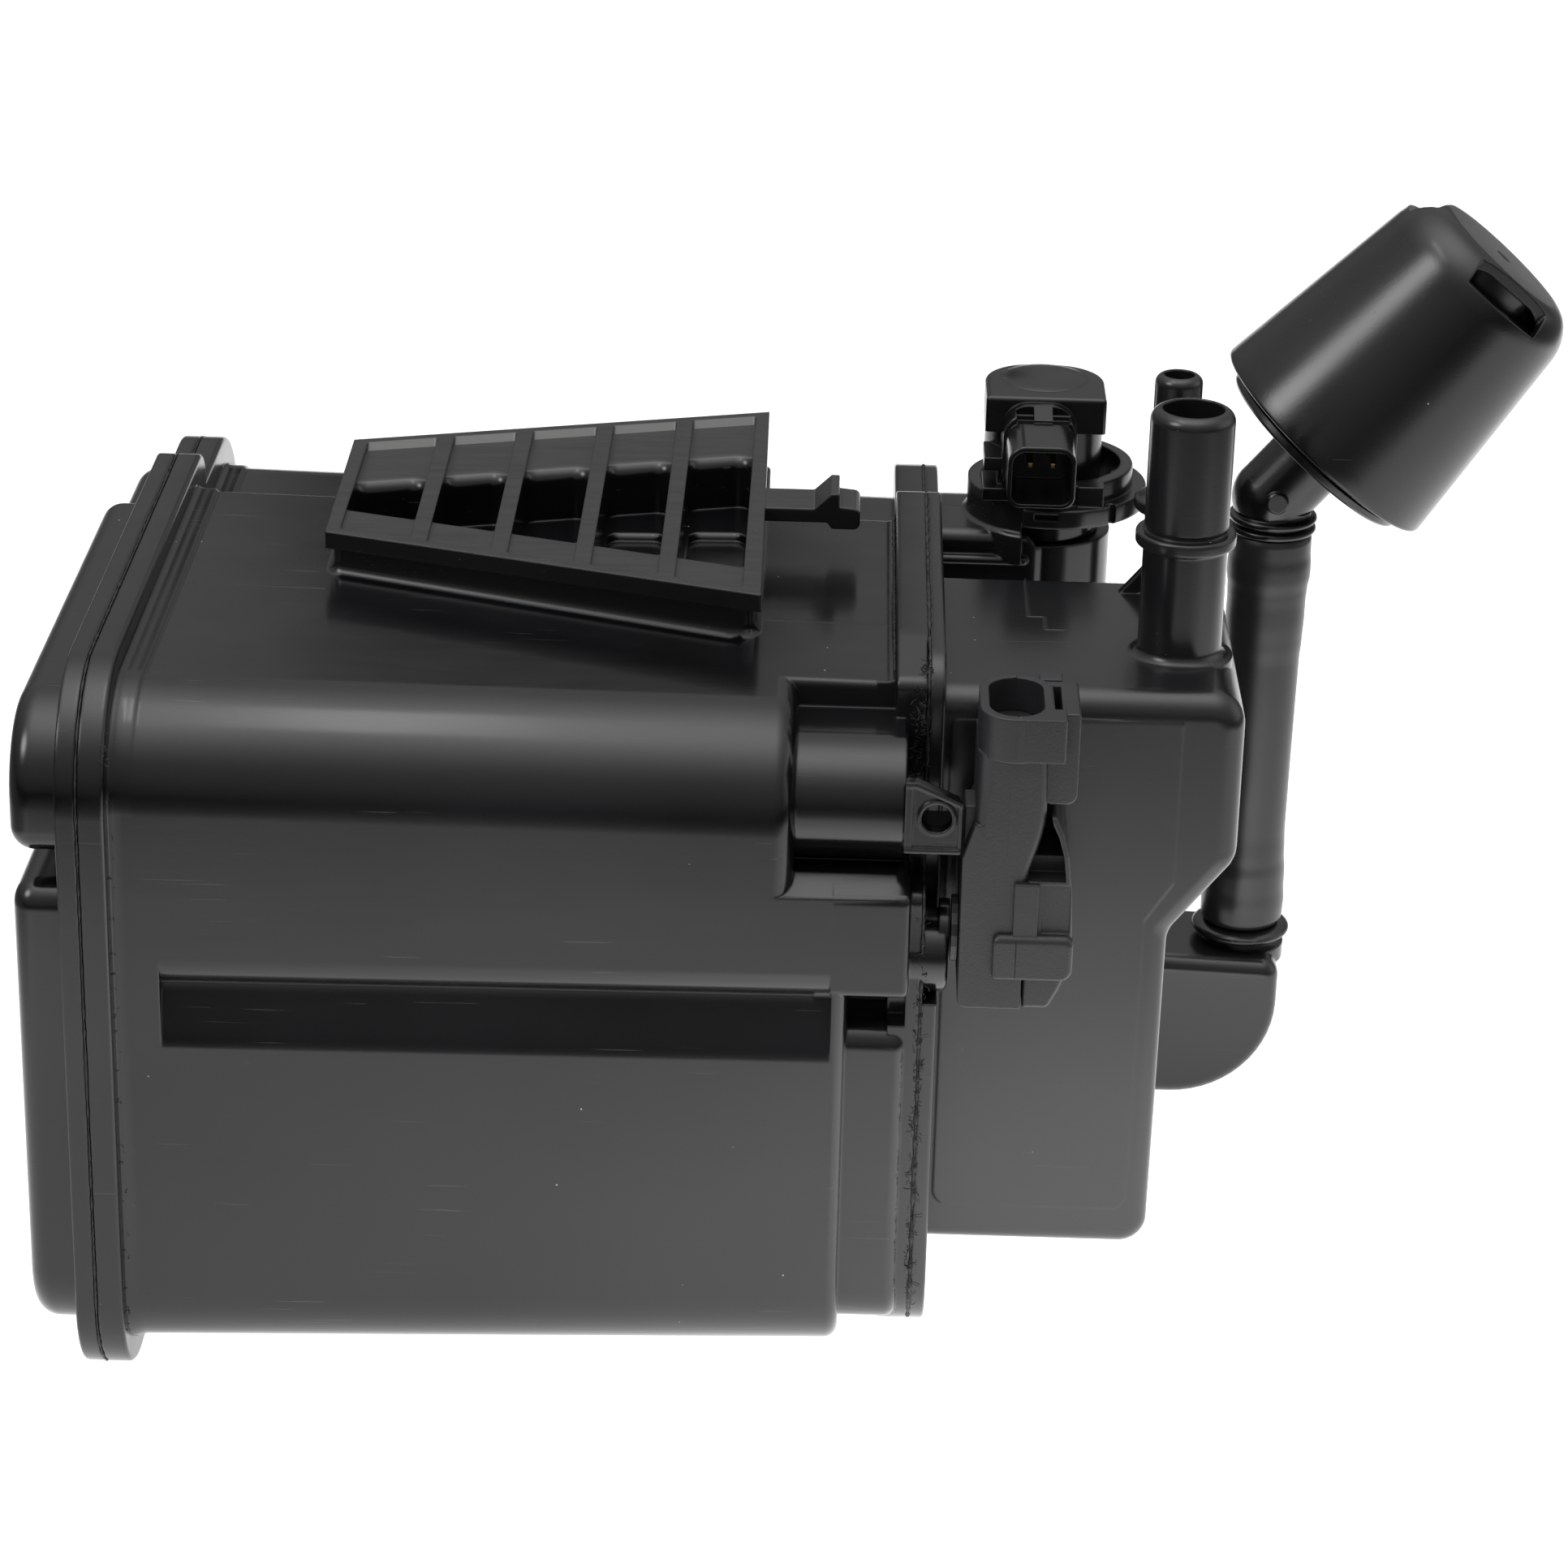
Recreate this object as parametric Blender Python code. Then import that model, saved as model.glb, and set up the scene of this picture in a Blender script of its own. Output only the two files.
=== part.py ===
"""Charcoal canister of a fuel-vapour system: welded housing with three carbon
chambers, vent valve, pressure sensor, vent hose and fresh-air filter.

Lengths below are in millimetres and MM turns them into metres. The housing is
drawn in its own axes: X from the left weld plane to the right, Y from the front
edge of the left flange to the back, Z up. FRAME_ORIGIN then puts the middle of
the bottom of the whole part at the world origin.
"""

import math

import bmesh
import bpy
from mathutils import Matrix, Vector

MM = 0.001

# ---- driving dimensions -------------------------------------------------------
FRAME_ORIGIN = (134.515, 93.0, -3.2)
SEG = 5                      # segments in a quarter turn of a moulded corner
GAP = 0.3                    # clearance between neighbouring pieces
WALL = 2.5                   # moulded wall thickness

WELD_L = 0.0                 # weld plane between end cap and body
FLANGE_L = 5.06              # right face of the body's left flange
CAP_FLANGE = 4.0             # thickness of the end cap's flange
CAP_DEPTH = 13.5             # outer face of the domes, to the left of the weld
FLANGE_R0, FLANGE_R1 = 147.6, 153.5      # body's right flange
COVER_R1 = 156.2             # right face of the cover's flange

LEFT_OUTLINE = [(0, -3.2, 20), (0, 141.4, 24), (138.5, 141.4, 7.4), (138.5, 133.6, 0),
                (186, 133.6, 24), (186, -3.2, 20)]
RIGHT_OUTLINE = [(9.7, 7.7, 16), (9.7, 140.3, 29), (131, 140.3, 7), (131, 132.4, 0),
                 (184.5, 132.4, 24), (184.5, 7.7, 18)]

FRONT_Y = (4.8, 7.3)         # front face of the front chamber, left and right end
FRONT_BACK = (125.5, 124.8)
FRONT_Z0 = (2.4, 4.9)
FRONT_Z1 = (136.5, 134.4)
REAR_Y0 = (131.0, 131.5)
REAR_Y1 = (181.5, 179.8)
REAR_Z1 = (126.9, 125.0)

BED_SPLIT = 105.0            # wall between the upper and lower front chamber

TRAY_TOP = 145.5
TRAY = [(36.7, 78.0), (121.8, 50.4), (120.9, 157.5), (36.5, 132.3)]
CELL_FLOOR = 133.5

PORT_L = (201.3, 57.4)       # large port axis
PORT_L_R, PORT_L_BORE = 7.95, 5.8
PORT_L_TOP = 182.4
PORT_S = (200.7, 88.3)       # small port axis
PORT_S_R, PORT_S_BORE = 4.6, 3.2
PORT_S_TOP = 178.9

VALVE = (177.8, 144.8)       # vent valve axis
SOCKET = (179.6, 144.8)      # middle of the ring wall round the valve
VALVE_TRAVEL = 2.0
STUB = (17.0, 93.5)          # sensor nipple axis (y, z)

HOSE_FOOT = (225.4, 144.8, 38.6)
HOSE_HEAD = (226.3, 144.8, 127.0)
HOSE_R, HOSE_BORE = 8.3, 6.1

FILTER_TILT = 40.0           # filter axis from the vertical, towards +X
FILTER_BASE = (235.6, 144.8, 147.0)
FILTER_RIM_R, FILTER_SHOULDER_R, FILTER_LEN = 26.5, 21.2, 52.6
ELBOW = (225.8, 144.8, 134.6)
ELBOW_R = 8.3


# ---- helpers --------------------------------------------------------------------
for item in list(bpy.data.objects):
    bpy.data.objects.remove(item, do_unlink=True)

root = bpy.data.objects.new("canister_frame", None)
bpy.context.scene.collection.objects.link(root)
root.location = [-c * MM for c in FRAME_ORIGIN]


def material(name, colour, rough, metal=0.0):
    mat = bpy.data.materials.new(name)
    mat.use_nodes = True
    shader = mat.node_tree.nodes["Principled BSDF"]
    shader.inputs["Base Color"].default_value = (*colour, 1.0)
    shader.inputs["Roughness"].default_value = rough
    shader.inputs["Metallic"].default_value = metal
    mat.diffuse_color = (*colour, 1.0)
    return mat


def add(name, bm, mat, location=(0, 0, 0), tilt=0.0, smooth=True):
    """Link a bmesh drawn in millimetres as an object under the frame empty."""
    bmesh.ops.remove_doubles(bm, verts=bm.verts[:], dist=1e-4)
    bmesh.ops.recalc_face_normals(bm, faces=bm.faces[:])
    bmesh.ops.scale(bm, vec=(MM, MM, MM), verts=bm.verts[:])
    mesh = bpy.data.meshes.new(name)
    bm.to_mesh(mesh)
    bm.free()
    if smooth:
        mesh.shade_smooth()
        mesh.set_sharp_from_angle(angle=math.radians(35))
    obj = bpy.data.objects.new(name, mesh)
    bpy.context.scene.collection.objects.link(obj)
    if mat is not None:
        mesh.materials.append(mat)
    obj.parent = root
    obj.location = [c * MM for c in location]
    obj.rotation_euler = (0.0, math.radians(tilt), 0.0)
    return obj


def tool(name, bm, location=(0, 0, 0), tilt=0.0):
    """A shape that only joins or cuts another one."""
    obj = add("tool_" + name, bm, None, location, tilt, smooth=False)
    obj.hide_render = True
    obj.display_type = "WIRE"
    return obj


def combine(obj, other, how):
    mod = obj.modifiers.new(how.lower() + "_" + other.name, "BOOLEAN")
    mod.operation = how
    mod.solver = "EXACT"
    mod.object = other
    return obj


def join(obj, *others):
    for other in others:
        combine(obj, other, "UNION")


def cut(obj, *others):
    for other in others:
        combine(obj, other, "DIFFERENCE")


def turn_sign(points):
    area = 0.0
    for i, a in enumerate(points):
        b = points[(i + 1) % len(points)]
        area += a[0] * b[1] - b[0] * a[1]
    return 1.0 if area > 0 else -1.0


def rounded(corners, seg=SEG):
    """Polygon of (u, v, radius) corners with every radius drawn as an arc."""
    out = []
    n = len(corners)
    for i in range(n):
        p = Vector(corners[i][:2])
        r = corners[i][2]
        a = (Vector(corners[i - 1][:2]) - p).normalized()
        b = (Vector(corners[(i + 1) % n][:2]) - p).normalized()
        if r <= 0:
            out.append((p.x, p.y))
            continue
        half = a.angle(b) / 2
        reach = r / math.tan(half)
        start, end = p + a * reach, p + b * reach
        centre = p + (a + b).normalized() * (r / math.sin(half))
        v0, v1 = start - centre, end - centre
        sweep = math.atan2(v0.x * v1.y - v0.y * v1.x, v0.dot(v1))
        for k in range(seg + 1):
            ang = sweep * k / seg
            c, s = math.cos(ang), math.sin(ang)
            out.append((centre.x + v0.x * c - v0.y * s, centre.y + v0.x * s + v0.y * c))
    return out


def inset(corners, d):
    """The same polygon with its edges moved inwards by d, radii following."""
    sign = turn_sign(corners)
    n = len(corners)
    out = []
    for i in range(n):
        p0, p, p1 = Vector(corners[i - 1][:2]), Vector(corners[i][:2]), Vector(corners[(i + 1) % n][:2])
        e0, e1 = (p - p0).normalized(), (p1 - p).normalized()
        n0, n1 = Vector((-e0.y, e0.x)) * sign, Vector((-e1.y, e1.x)) * sign
        bis = n0 + n1
        q = p + bis * (2 * d / bis.length_squared)
        convex = (e0.x * e1.y - e0.y * e1.x) * sign > 0
        r = corners[i][2]
        r = (max(r - d, 0.05) if convex else r + d) if r > 0 else 0
        out.append((q.x, q.y, r))
    return out


def ring(points, axis, at):
    if axis == "x":
        return [(at, u, v) for u, v in points]
    if axis == "y":
        return [(u, at, v) for u, v in points]
    return [(u, v, at) for u, v in points]


def loft(rings):
    """Closed solid through rings that have the same number of points."""
    bm = bmesh.new()
    rows = [[bm.verts.new(p) for p in r] for r in rings]
    n = len(rows[0])
    for a, b in zip(rows, rows[1:]):
        for i in range(n):
            bm.faces.new((a[i], a[(i + 1) % n], b[(i + 1) % n], b[i]))
    bm.faces.new(rows[0][::-1])
    bm.faces.new(rows[-1])
    return bm


def prism(corners, axis, a0, a1, seg=SEG):
    pts = rounded(corners, seg)
    return loft([ring(pts, axis, a0), ring(pts, axis, a1)])


def pillow(corners, axis, a0, a1, r0, r1, seg=SEG, steps=3):
    """Prism whose end edges are rounded with r0 at a0 and r1 at a1."""
    sign = 1.0 if a1 > a0 else -1.0
    rings = []
    if r0 > 0:
        for k in range(steps + 1):
            t = math.pi / 2 * k / steps
            pts = rounded(inset(corners, r0 * (1 - math.sin(t))), seg)
            rings.append(ring(pts, axis, a0 + sign * r0 * (1 - math.cos(t))))
    else:
        rings.append(ring(rounded(corners, seg), axis, a0))
    if r1 > 0:
        for k in range(steps + 1):
            t = math.pi / 2 * k / steps
            pts = rounded(inset(corners, r1 * (1 - math.cos(t))), seg)
            rings.append(ring(pts, axis, a1 - sign * r1 * (1 - math.sin(t))))
    else:
        rings.append(ring(rounded(corners, seg), axis, a1))
    return loft(rings)


def rect(u0, v0, u1, v1, r=0.0):
    return [(u0, v0, r), (u0, v1, r), (u1, v1, r), (u1, v0, r)]


def box(x0, y0, z0, x1, y1, z1):
    return prism(rect(x0, y0, x1, y1), "z", z0, z1)


def turned(profile, steps=24, axis="z", centre=(0, 0)):
    """Solid of revolution of an open (radius, height) profile that starts and
    ends on the axis, or of a closed one that stays clear of it."""
    bm = bmesh.new()
    rows = []
    for r, h in profile:
        if r < 1e-6:
            rows.append([bm.verts.new((0, 0, h))])
            continue
        rows.append([bm.verts.new((r * math.cos(2 * math.pi * k / steps), r * math.sin(2 * math.pi * k / steps), h))
                     for k in range(steps)])
    closed = len(rows[0]) > 1 and len(rows[-1]) > 1
    pairs = list(zip(rows, rows[1:])) + ([(rows[-1], rows[0])] if closed else [])
    for a, b in pairs:
        for k in range(steps):
            j = (k + 1) % steps
            if len(a) == 1:
                bm.faces.new((a[0], b[k], b[j]))
            elif len(b) == 1:
                bm.faces.new((a[k], a[j], b[0]))
            else:
                bm.faces.new((a[k], a[j], b[j], b[k]))
    if axis == "x":
        bmesh.ops.rotate(bm, matrix=Matrix.Rotation(math.radians(90), 3, "Y"), verts=bm.verts[:])
        bmesh.ops.translate(bm, vec=(0, centre[0], centre[1]), verts=bm.verts[:])
    elif axis == "y":
        bmesh.ops.rotate(bm, matrix=Matrix.Rotation(math.radians(-90), 3, "X"), verts=bm.verts[:])
        bmesh.ops.translate(bm, vec=(centre[0], 0, centre[1]), verts=bm.verts[:])
    else:
        bmesh.ops.translate(bm, vec=(centre[0], centre[1], 0), verts=bm.verts[:])
    return bm


def rod(r, h0, h1, steps=24, axis="z", centre=(0, 0)):
    return turned([(0, h0), (r, h0), (r, h1), (0, h1)], steps, axis, centre)


def pipe(r_out, r_in, h0, h1, steps=24, axis="z", centre=(0, 0)):
    return turned([(r_out, h0), (r_out, h1), (r_in, h1), (r_in, h0)], steps, axis, centre)


def coil(r, wire, h0, h1, turns, per_turn=12, sides=6):
    """Compression spring along Z with a closed turn at each end."""
    bm = bmesh.new()
    count = int(turns * per_turn)
    rows = []
    for k in range(count + 1):
        s = k / count
        t = s * turns
        dead = 1.0
        if t < dead:
            h = h0 + wire * 1.08 * t
        elif t > turns - dead:
            h = h1 - wire * 1.08 * (turns - t)
        else:
            h = h0 + wire * 1.08 + (h1 - h0 - 2.16 * wire) * (t - dead) / (turns - 2 * dead)
        ang = 2 * math.pi * t
        row = []
        for j in range(sides):
            b = 2 * math.pi * j / sides
            rr = r + wire / 2 * math.cos(b)
            row.append(bm.verts.new((rr * math.cos(ang), rr * math.sin(ang), h + wire / 2 * math.sin(b))))
        rows.append(row)
    for a, b in zip(rows, rows[1:]):
        for j in range(sides):
            bm.faces.new((a[j], a[(j + 1) % sides], b[(j + 1) % sides], b[j]))
    bm.faces.new(rows[0][::-1])
    bm.faces.new(rows[-1])
    return bm


def along_x(bm, y, z, x=0.0):
    """Lay a shape that was drawn along Z down along X."""
    bmesh.ops.rotate(bm, matrix=Matrix.Rotation(math.radians(90), 3, "Y"), verts=bm.verts[:])
    bmesh.ops.translate(bm, vec=(x, y, z), verts=bm.verts[:])
    return bm


# ---- materials ------------------------------------------------------------------
black = material("black_polyamide", (0.012, 0.013, 0.014), 0.34)
grey = material("grey_polyester", (0.035, 0.038, 0.042), 0.5)
rubber = material("black_rubber", (0.01, 0.01, 0.01), 0.55)
carbon = material("carbon_pellets", (0.015, 0.015, 0.015), 0.9)
fleece = material("filter_fleece", (0.55, 0.55, 0.52), 0.95)
foam = material("filter_foam", (0.09, 0.09, 0.09), 0.95)
natural = material("natural_plastic", (0.5, 0.48, 0.4), 0.55)
spring_steel = material("spring_steel", (0.5, 0.5, 0.52), 0.3, 1.0)
core_steel = material("core_steel", (0.45, 0.45, 0.47), 0.35, 1.0)
copper = material("copper_winding", (0.6, 0.25, 0.1), 0.35, 1.0)
brass = material("brass_terminal", (0.65, 0.45, 0.16), 0.3, 1.0)
board = material("circuit_board", (0.02, 0.12, 0.05), 0.5)


# ---- canister body --------------------------------------------------------------
def front_corners(k, d=0.0):
    y0, y1 = FRONT_Y[k] + d, FRONT_BACK[k] - d
    z0, z1 = FRONT_Z0[k] + d, FRONT_Z1[k] - d
    return [(y0, z0, 15 - d), (y0, z1, 20 - d), (y1, z1, max(2.0 - d, 0.3)), (y1, z0, 10 - d)]


def rear_corners(k, d=0.0):
    y0, y1 = REAR_Y0[k] + d, REAR_Y1[k] - d
    z0, z1 = FRONT_Z0[k] + d, REAR_Z1[k] - d
    return [(y0, z0, 6 - d), (y0, z1, 6 - d), (y1, z1, 19 - d), (y1, z0, 15 - d)]


def chamber(shape, x0, x1):
    """Drafted chamber between the two flanges, extended to x0 and x1."""
    def at(x):
        t = (x - FLANGE_L) / (FLANGE_R0 - FLANGE_L)
        a, b = shape(0), shape(1)
        return [(p[0] + (q[0] - p[0]) * t, p[1] + (q[1] - p[1]) * t, p[2] + (q[2] - p[2]) * t)
                for p, q in zip(a, b)]
    return loft([ring(rounded(at(x)), "x", x) for x in (x0, x1)])


def low_space(k, d=0.0):
    """Inside of the large front chamber, below the dividing wall."""
    w = WALL + d
    y0, y1, z0 = FRONT_Y[k] + w, FRONT_BACK[k] - w, FRONT_Z0[k] + w
    return [(y0 + 0.6, z0, 12 - d), (y0 + 0.6, BED_SPLIT - WALL / 2 - d, 3), (y1, BED_SPLIT - WALL / 2 - d, 3), (y1, z0, 8 - d)]


def up_space(k, d=0.0):
    """Inside of the small front chamber; its roof steps down under the tray."""
    w = WALL + d
    y0, y1, z1 = FRONT_Y[k] + w, FRONT_BACK[k] - w, FRONT_Z1[k] - w
    low = 131.0 - d
    return [(y0, BED_SPLIT + WALL / 2 + d, 3), (y0, z1, 17 - d), (48.0 - d, z1, 0), (48.0 - d, low, 0), (y1, low, 3), (y1, BED_SPLIT + WALL / 2 + d, 3)]


def rear_space(k, d=0.0):
    w = WALL + d
    y0, y1, z0, z1 = REAR_Y0[k] + w, REAR_Y1[k] - w, FRONT_Z0[k] + w, REAR_Z1[k] - w
    return [(y0, z0, 4), (y0, z1, 4), (y1, z1, 16 - d), (y1, z0, 12 - d)]


LOW_END, UP_END, REAR_END = 134.0, 123.8, 137.5

body = add("canister_body", chamber(front_corners, FLANGE_L - 2, FLANGE_R0 + 1), black)
join(body, tool("rear_chamber", chamber(rear_corners, FLANGE_L - 2, FLANGE_R0 + 1)))
join(body, tool("web", box(FLANGE_L - 1, 123.6, 63.0, FLANGE_R0 + 1, 132.6, 66.0)))

# sighting groove along the front face above the lower box
cut(body, tool("groove", prism([(2.0, 88.0, 0), (4.9, 86.9, 0), (7.9, 83.6, 0), (6.5, 78.5, 0), (5.1, 74.6, 0), (2.0, 73.0, 0)],
                               "x", 13.3, 137.0)))
# recess at the right end of the lower box
cut(body, tool("end_recess", pillow(rect(140.2, -6.0, 152.0, 84.0), "y", 0.0, 13.0, 0, 1.5)))
cut(body, tool("end_lift", box(140.2, -2.0, -6.0, 152.0, 190.0, 9.4)))
# pocket in the top front corner
cut(body, tool("pocket", prism([(0, 102.0, 0), (7.3, 102.0, 0), (12.5, 107.0, 0), (37.0, 107.0, 2), (37.0, 128.0, 2), (31.0, 141.0, 0), (0, 141.0, 0)],
                               "x", 128.0, FLANGE_R0 + 2)))
join(body, tool("pocket_barrel", rod(14.0, 126.5, 150.5, 24, "x", (21.0, 120.4))))
join(body, tool("pocket_back", box(126.5, 21.0, 106.6, 149.5, 38.0, 133.9)))
join(body, tool("duct", pillow(rect(8.0, 84.0, 30.0, 102.4, 2.0), "x", 136.5, 151.5, 1.5, 1.5, 3, 2)))
join(body, tool("step_part", pillow([(8.6, 11.5, 9), (8.6, 75.0, 5), (32.0, 75.0, 0), (32.0, 11.5, 0)], "x", 138.5, 151.4, 0, 2.2, 4, 2)))

# flanges
join(body, tool("left_flange", prism(LEFT_OUTLINE, "x", WELD_L + GAP / 2, FLANGE_L)))
join(body, tool("right_flange", prism(RIGHT_OUTLINE, "x", FLANGE_R0, FLANGE_R1)))
join(body, tool("sensor_stub", rod(8.8, 146.0, 158.6, 20, "x", STUB)))
join(body, tool("tab", prism([(149.5, 112.5, 0.8), (149.5, 126.3, 0.8), (151.6, 126.3, 0), (159.6, 122.6, 0.8), (159.9, 112.5, 0.8)], "y", 8.0, 10.6, 2)))

# cell tray on top
FRONT_SLOPE = (TRAY[1][1] - TRAY[0][1]) / (TRAY[1][0] - TRAY[0][0])
REAR_SLOPE = (TRAY[2][1] - TRAY[3][1]) / (TRAY[2][0] - TRAY[3][0])


def front_edge(x, d):
    return TRAY[0][1] + FRONT_SLOPE * (x - TRAY[0][0]) + d


def rear_edge(x, d):
    return TRAY[3][1] + REAR_SLOPE * (x - TRAY[3][0]) - d


foot = [(37.8, front_edge(37.8, 3.0)), (120.6, front_edge(120.6, 3.0)), (119.8, rear_edge(119.8, 1.2)), (37.6, rear_edge(37.6, 1.2))]
join(body, tool("tray_foot", loft([ring(foot, "z", 123.9), ring(foot, "z", 142.6)])))
join(body, tool("tray_rim", loft([ring(TRAY, "z", 142.0), ring(TRAY, "z", TRAY_TOP)])))

CELL_X = [(39.4, 53.4), (56.7, 69.3), (72.6, 85.6), (88.9, 101.9), (105.2, 118.2)]
for i, (xa, xb) in enumerate(CELL_X):
    deep = [(xa, front_edge(xa, 12.5)), (xb, front_edge(xb, 12.5)), (xb, rear_edge(xb, 4.2)), (xa, rear_edge(xa, 4.2))]
    ledge = [(xa, front_edge(xa, 2.2)), (xb, front_edge(xb, 2.2)), (xb, rear_edge(xb, 2.2)), (xa, rear_edge(xa, 2.2))]
    cut(body, tool("cell_%d" % i, loft([ring(deep, "z", CELL_FLOOR), ring(deep, "z", 147.0)])))
    cut(body, tool("cell_ledge_%d" % i, loft([ring(ledge, "z", 144.0), ring(ledge, "z", 147.0)])))

# latch finger beside the tray
join(body, tool("finger", prism([(119.5, 142.5, 0), (119.5, 145.5, 0), (131.0, 145.5, 0), (134.6, 148.6, 0), (135.8, 148.6, 0),
                                 (135.8, 145.9, 0), (140.0, 145.3, 1.5), (140.0, 141.4, 1.5), (134.6, 141.4, 0), (134.0, 142.5, 0)],
                                "y", 98.9, 110.6, 2)))

# chambers and openings
cut(body, tool("cavity_low_a", chamber(low_space, -1.0, LOW_END)))
cut(body, tool("cavity_low_b", prism(rect(32.6, 12.4, 121.6, BED_SPLIT - 1.9, 6), "x", LOW_END - 2, 155.0, 4)))
cut(body, tool("cavity_up_a", chamber(up_space, -1.0, UP_END)))
cut(body, tool("cavity_up_b", prism([(41.0, BED_SPLIT + 1.3, 3), (41.0, 130.6, 3), (121.6, 130.6, 3), (121.6, BED_SPLIT + 1.3, 3)],
                                    "x", UP_END - 2, 155.0, 4)))
cut(body, tool("cavity_rear_a", chamber(rear_space, -1.0, REAR_END)))
cut(body, tool("cavity_rear_b", prism(rect(135.0, 12.4, 176.0, 119.0, 4), "x", REAR_END - 2, 155.0, 4)))
cut(body, tool("stub_bore", rod(4.0, 140.0, 160.0, 14, "x", STUB)))
cut(body, tool("stub_passage", prism(rect(140.0, 15.0, 144.4, 36.0), "z", 90.5, 96.5)))
cut(body, tool("tab_hole", rod(2.8, 5.0, 14.0, 14, "y", (155.3, 119.5))))

# ---- end cap --------------------------------------------------------------------
UPPER_DOME = [(4.6, 107.8, 4), (4.6, 135.0, 18), (123.5, 135.0, 5), (123.5, 107.8, 4)]
LOWER_DOME = [(4.6, 6.0, 15), (4.6, 101.9, 4), (123.5, 101.9, 4), (123.5, 6.0, 12)]
REAR_DOME = [(131.5, 6.0, 10), (131.5, 126.6, 8), (180.5, 126.6, 19), (180.5, 6.0, 15)]
cap = add("end_cap", prism(LEFT_OUTLINE, "x", -CAP_FLANGE, -GAP / 2), black)
for nm, dome in (("upper", UPPER_DOME), ("lower", LOWER_DOME), ("rear", REAR_DOME)):
    join(cap, tool("dome_" + nm, pillow(dome, "x", -2.0, -CAP_DEPTH, 0, 3.8, 4, 3)))
for nm, dome in (("upper", UPPER_DOME), ("lower", LOWER_DOME), ("rear", REAR_DOME)):
    cut(cap, tool("dome_inside_" + nm, pillow(inset(dome, WALL + 0.8), "x", 1.0, -CAP_DEPTH + WALL, 0, 1.2, 3, 1)))

# ---- manifold cover -------------------------------------------------------------
BOX_FRONT, BOX_BACK = 32.0, 95.0
COVER_SIDE = [(154.5, 18.5, 0), (154.5, 133.2, 0), (212.9, 133.2, 3.5), (212.9, 100.5, 4), (200.6, 84.8, 4), (200.0, 18.5, 5.5)]
cover = add("manifold_cover", prism(RIGHT_OUTLINE, "x", FLANGE_R1 + GAP, COVER_R1), black)
join(cover, tool("front_box", pillow(COVER_SIDE, "y", BOX_FRONT, BOX_BACK, 2.6, 2.6, 4, 2)))
join(cover, tool("rear_duct", pillow([(131.0, 12.0, 5), (131.0, 126.0, 8), (178.5, 126.0, 16), (178.5, 12.0, 12)], "x", 154.5, 176.8, 0, 3.0, 4, 2)))
join(cover, tool("valve_tube", rod(13.4, 20.0, 128.0, 28, "z", (179.0, 144.8))))
cup = tool("valve_cup", turned([(0, 122.0), (14.6, 122.0), (17.0, 124.5), (17.0, 140.8), (16.4, 141.4), (0, 141.4)], 32, "z", SOCKET))
cut(cup, tool("valve_wall_front", box(155.0, 120.0, 136.2, 180.0, 144.0, 143.0)))
cut(cup, tool("valve_wall_left", box(155.0, 143.0, 136.2, 171.0, 170.0, 143.0)))
join(cover, cup)
lip = tool("valve_lip", turned([(0, 131.6), (19.0, 131.6), (20.0, 132.4), (20.0, 135.2), (0, 135.2)], 32, "z", SOCKET))
cut(lip, tool("valve_lip_left", box(155.0, 120.0, 130.0, 171.6, 170.0, 137.0)))
join(cover, lip)
join(cover, tool("elbow_box", pillow([(160.0, 1.2, 2), (160.0, 34.2, 0), (178.0, 35.4, 0), (233.2, 33.4, 3.5), (233.2, 1.2, 22)], "y", 131.2, 158.4, 3.0, 3.0, 4, 2)))
join(cover, tool("nipple", turned([(0, 30.0), (7.6, 30.0), (7.6, 35.4), (10.1, 35.8), (10.1, 37.6), (7.6, 38.2), (5.7, 38.3), (5.7, 50.0), (6.0, 50.5), (5.2, 53.0), (0, 53.0)], 20, "z", HOSE_FOOT[:2])))
join(cover, tool("large_port", turned([(0, 128.0), (9.6, 128.0), (9.6, 132.0), (8.4, 134.5), (PORT_L_R, 136.0), (PORT_L_R, 155.4), (9.55, 156.4), (9.55, 158.2), (PORT_L_R, 159.2),
                                       (PORT_L_R, 179.8), (6.9, PORT_L_TOP), (0, PORT_L_TOP)], 24, "z", PORT_L)))
join(cover, tool("small_port", turned([(0, 128.0), (6.0, 128.0), (PORT_S_R, 135.0), (PORT_S_R, 151.6), (6.0, 152.4), (6.0, 153.6), (PORT_S_R, 154.4),
                                       (PORT_S_R, 177.2), (4.0, PORT_S_TOP), (0, PORT_S_TOP)], 16, "z", PORT_S)))
join(cover, tool("port_rib", prism([(188.6, 131.0, 0), (188.6, 133.8, 0), (197.5, 142.0, 0), (199.0, 142.0, 0), (199.0, 131.0, 0)], "y", 87.2, 89.4)))
# notch in the flange for the sensor stub and the tab
cut(cover, tool("flange_notch", box(152.0, 5.0, 81.0, 158.0, 28.0, 129.0)))
# inside
cut(cover, tool("box_inside", pillow([(150.0, 21.3, 2), (150.0, 130.4, 2), (210.0, 130.4, 3), (210.0, 101.8, 3), (197.8, 86.4, 3), (197.2, 21.3, 3)], "y", BOX_FRONT + 2.8, BOX_BACK - 2.8, 1.0, 1.0, 2, 1)))
cut(cover, tool("duct_inside", prism(rect(134.0, 15.0, 175.6, 123.0, 4), "x", 150.0, 162.6, 3)))
cut(cover, tool("large_bore", rod(PORT_L_BORE, 126.0, 185.0, 20, "z", PORT_L)))
cut(cover, tool("small_bore", rod(PORT_S_BORE, 126.0, 181.0, 14, "z", PORT_S)))
cut(cover, tool("valve_bore", turned([(0, 14.0), (9.0, 14.0), (9.0, 70.0), (11.7, 72.0), (11.7, 128.0), (0, 128.0)], 24, "z", VALVE)))
cut(cover, tool("valve_well", rod(14.4, 126.9, 145.0, 32, "z", SOCKET)))
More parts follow.
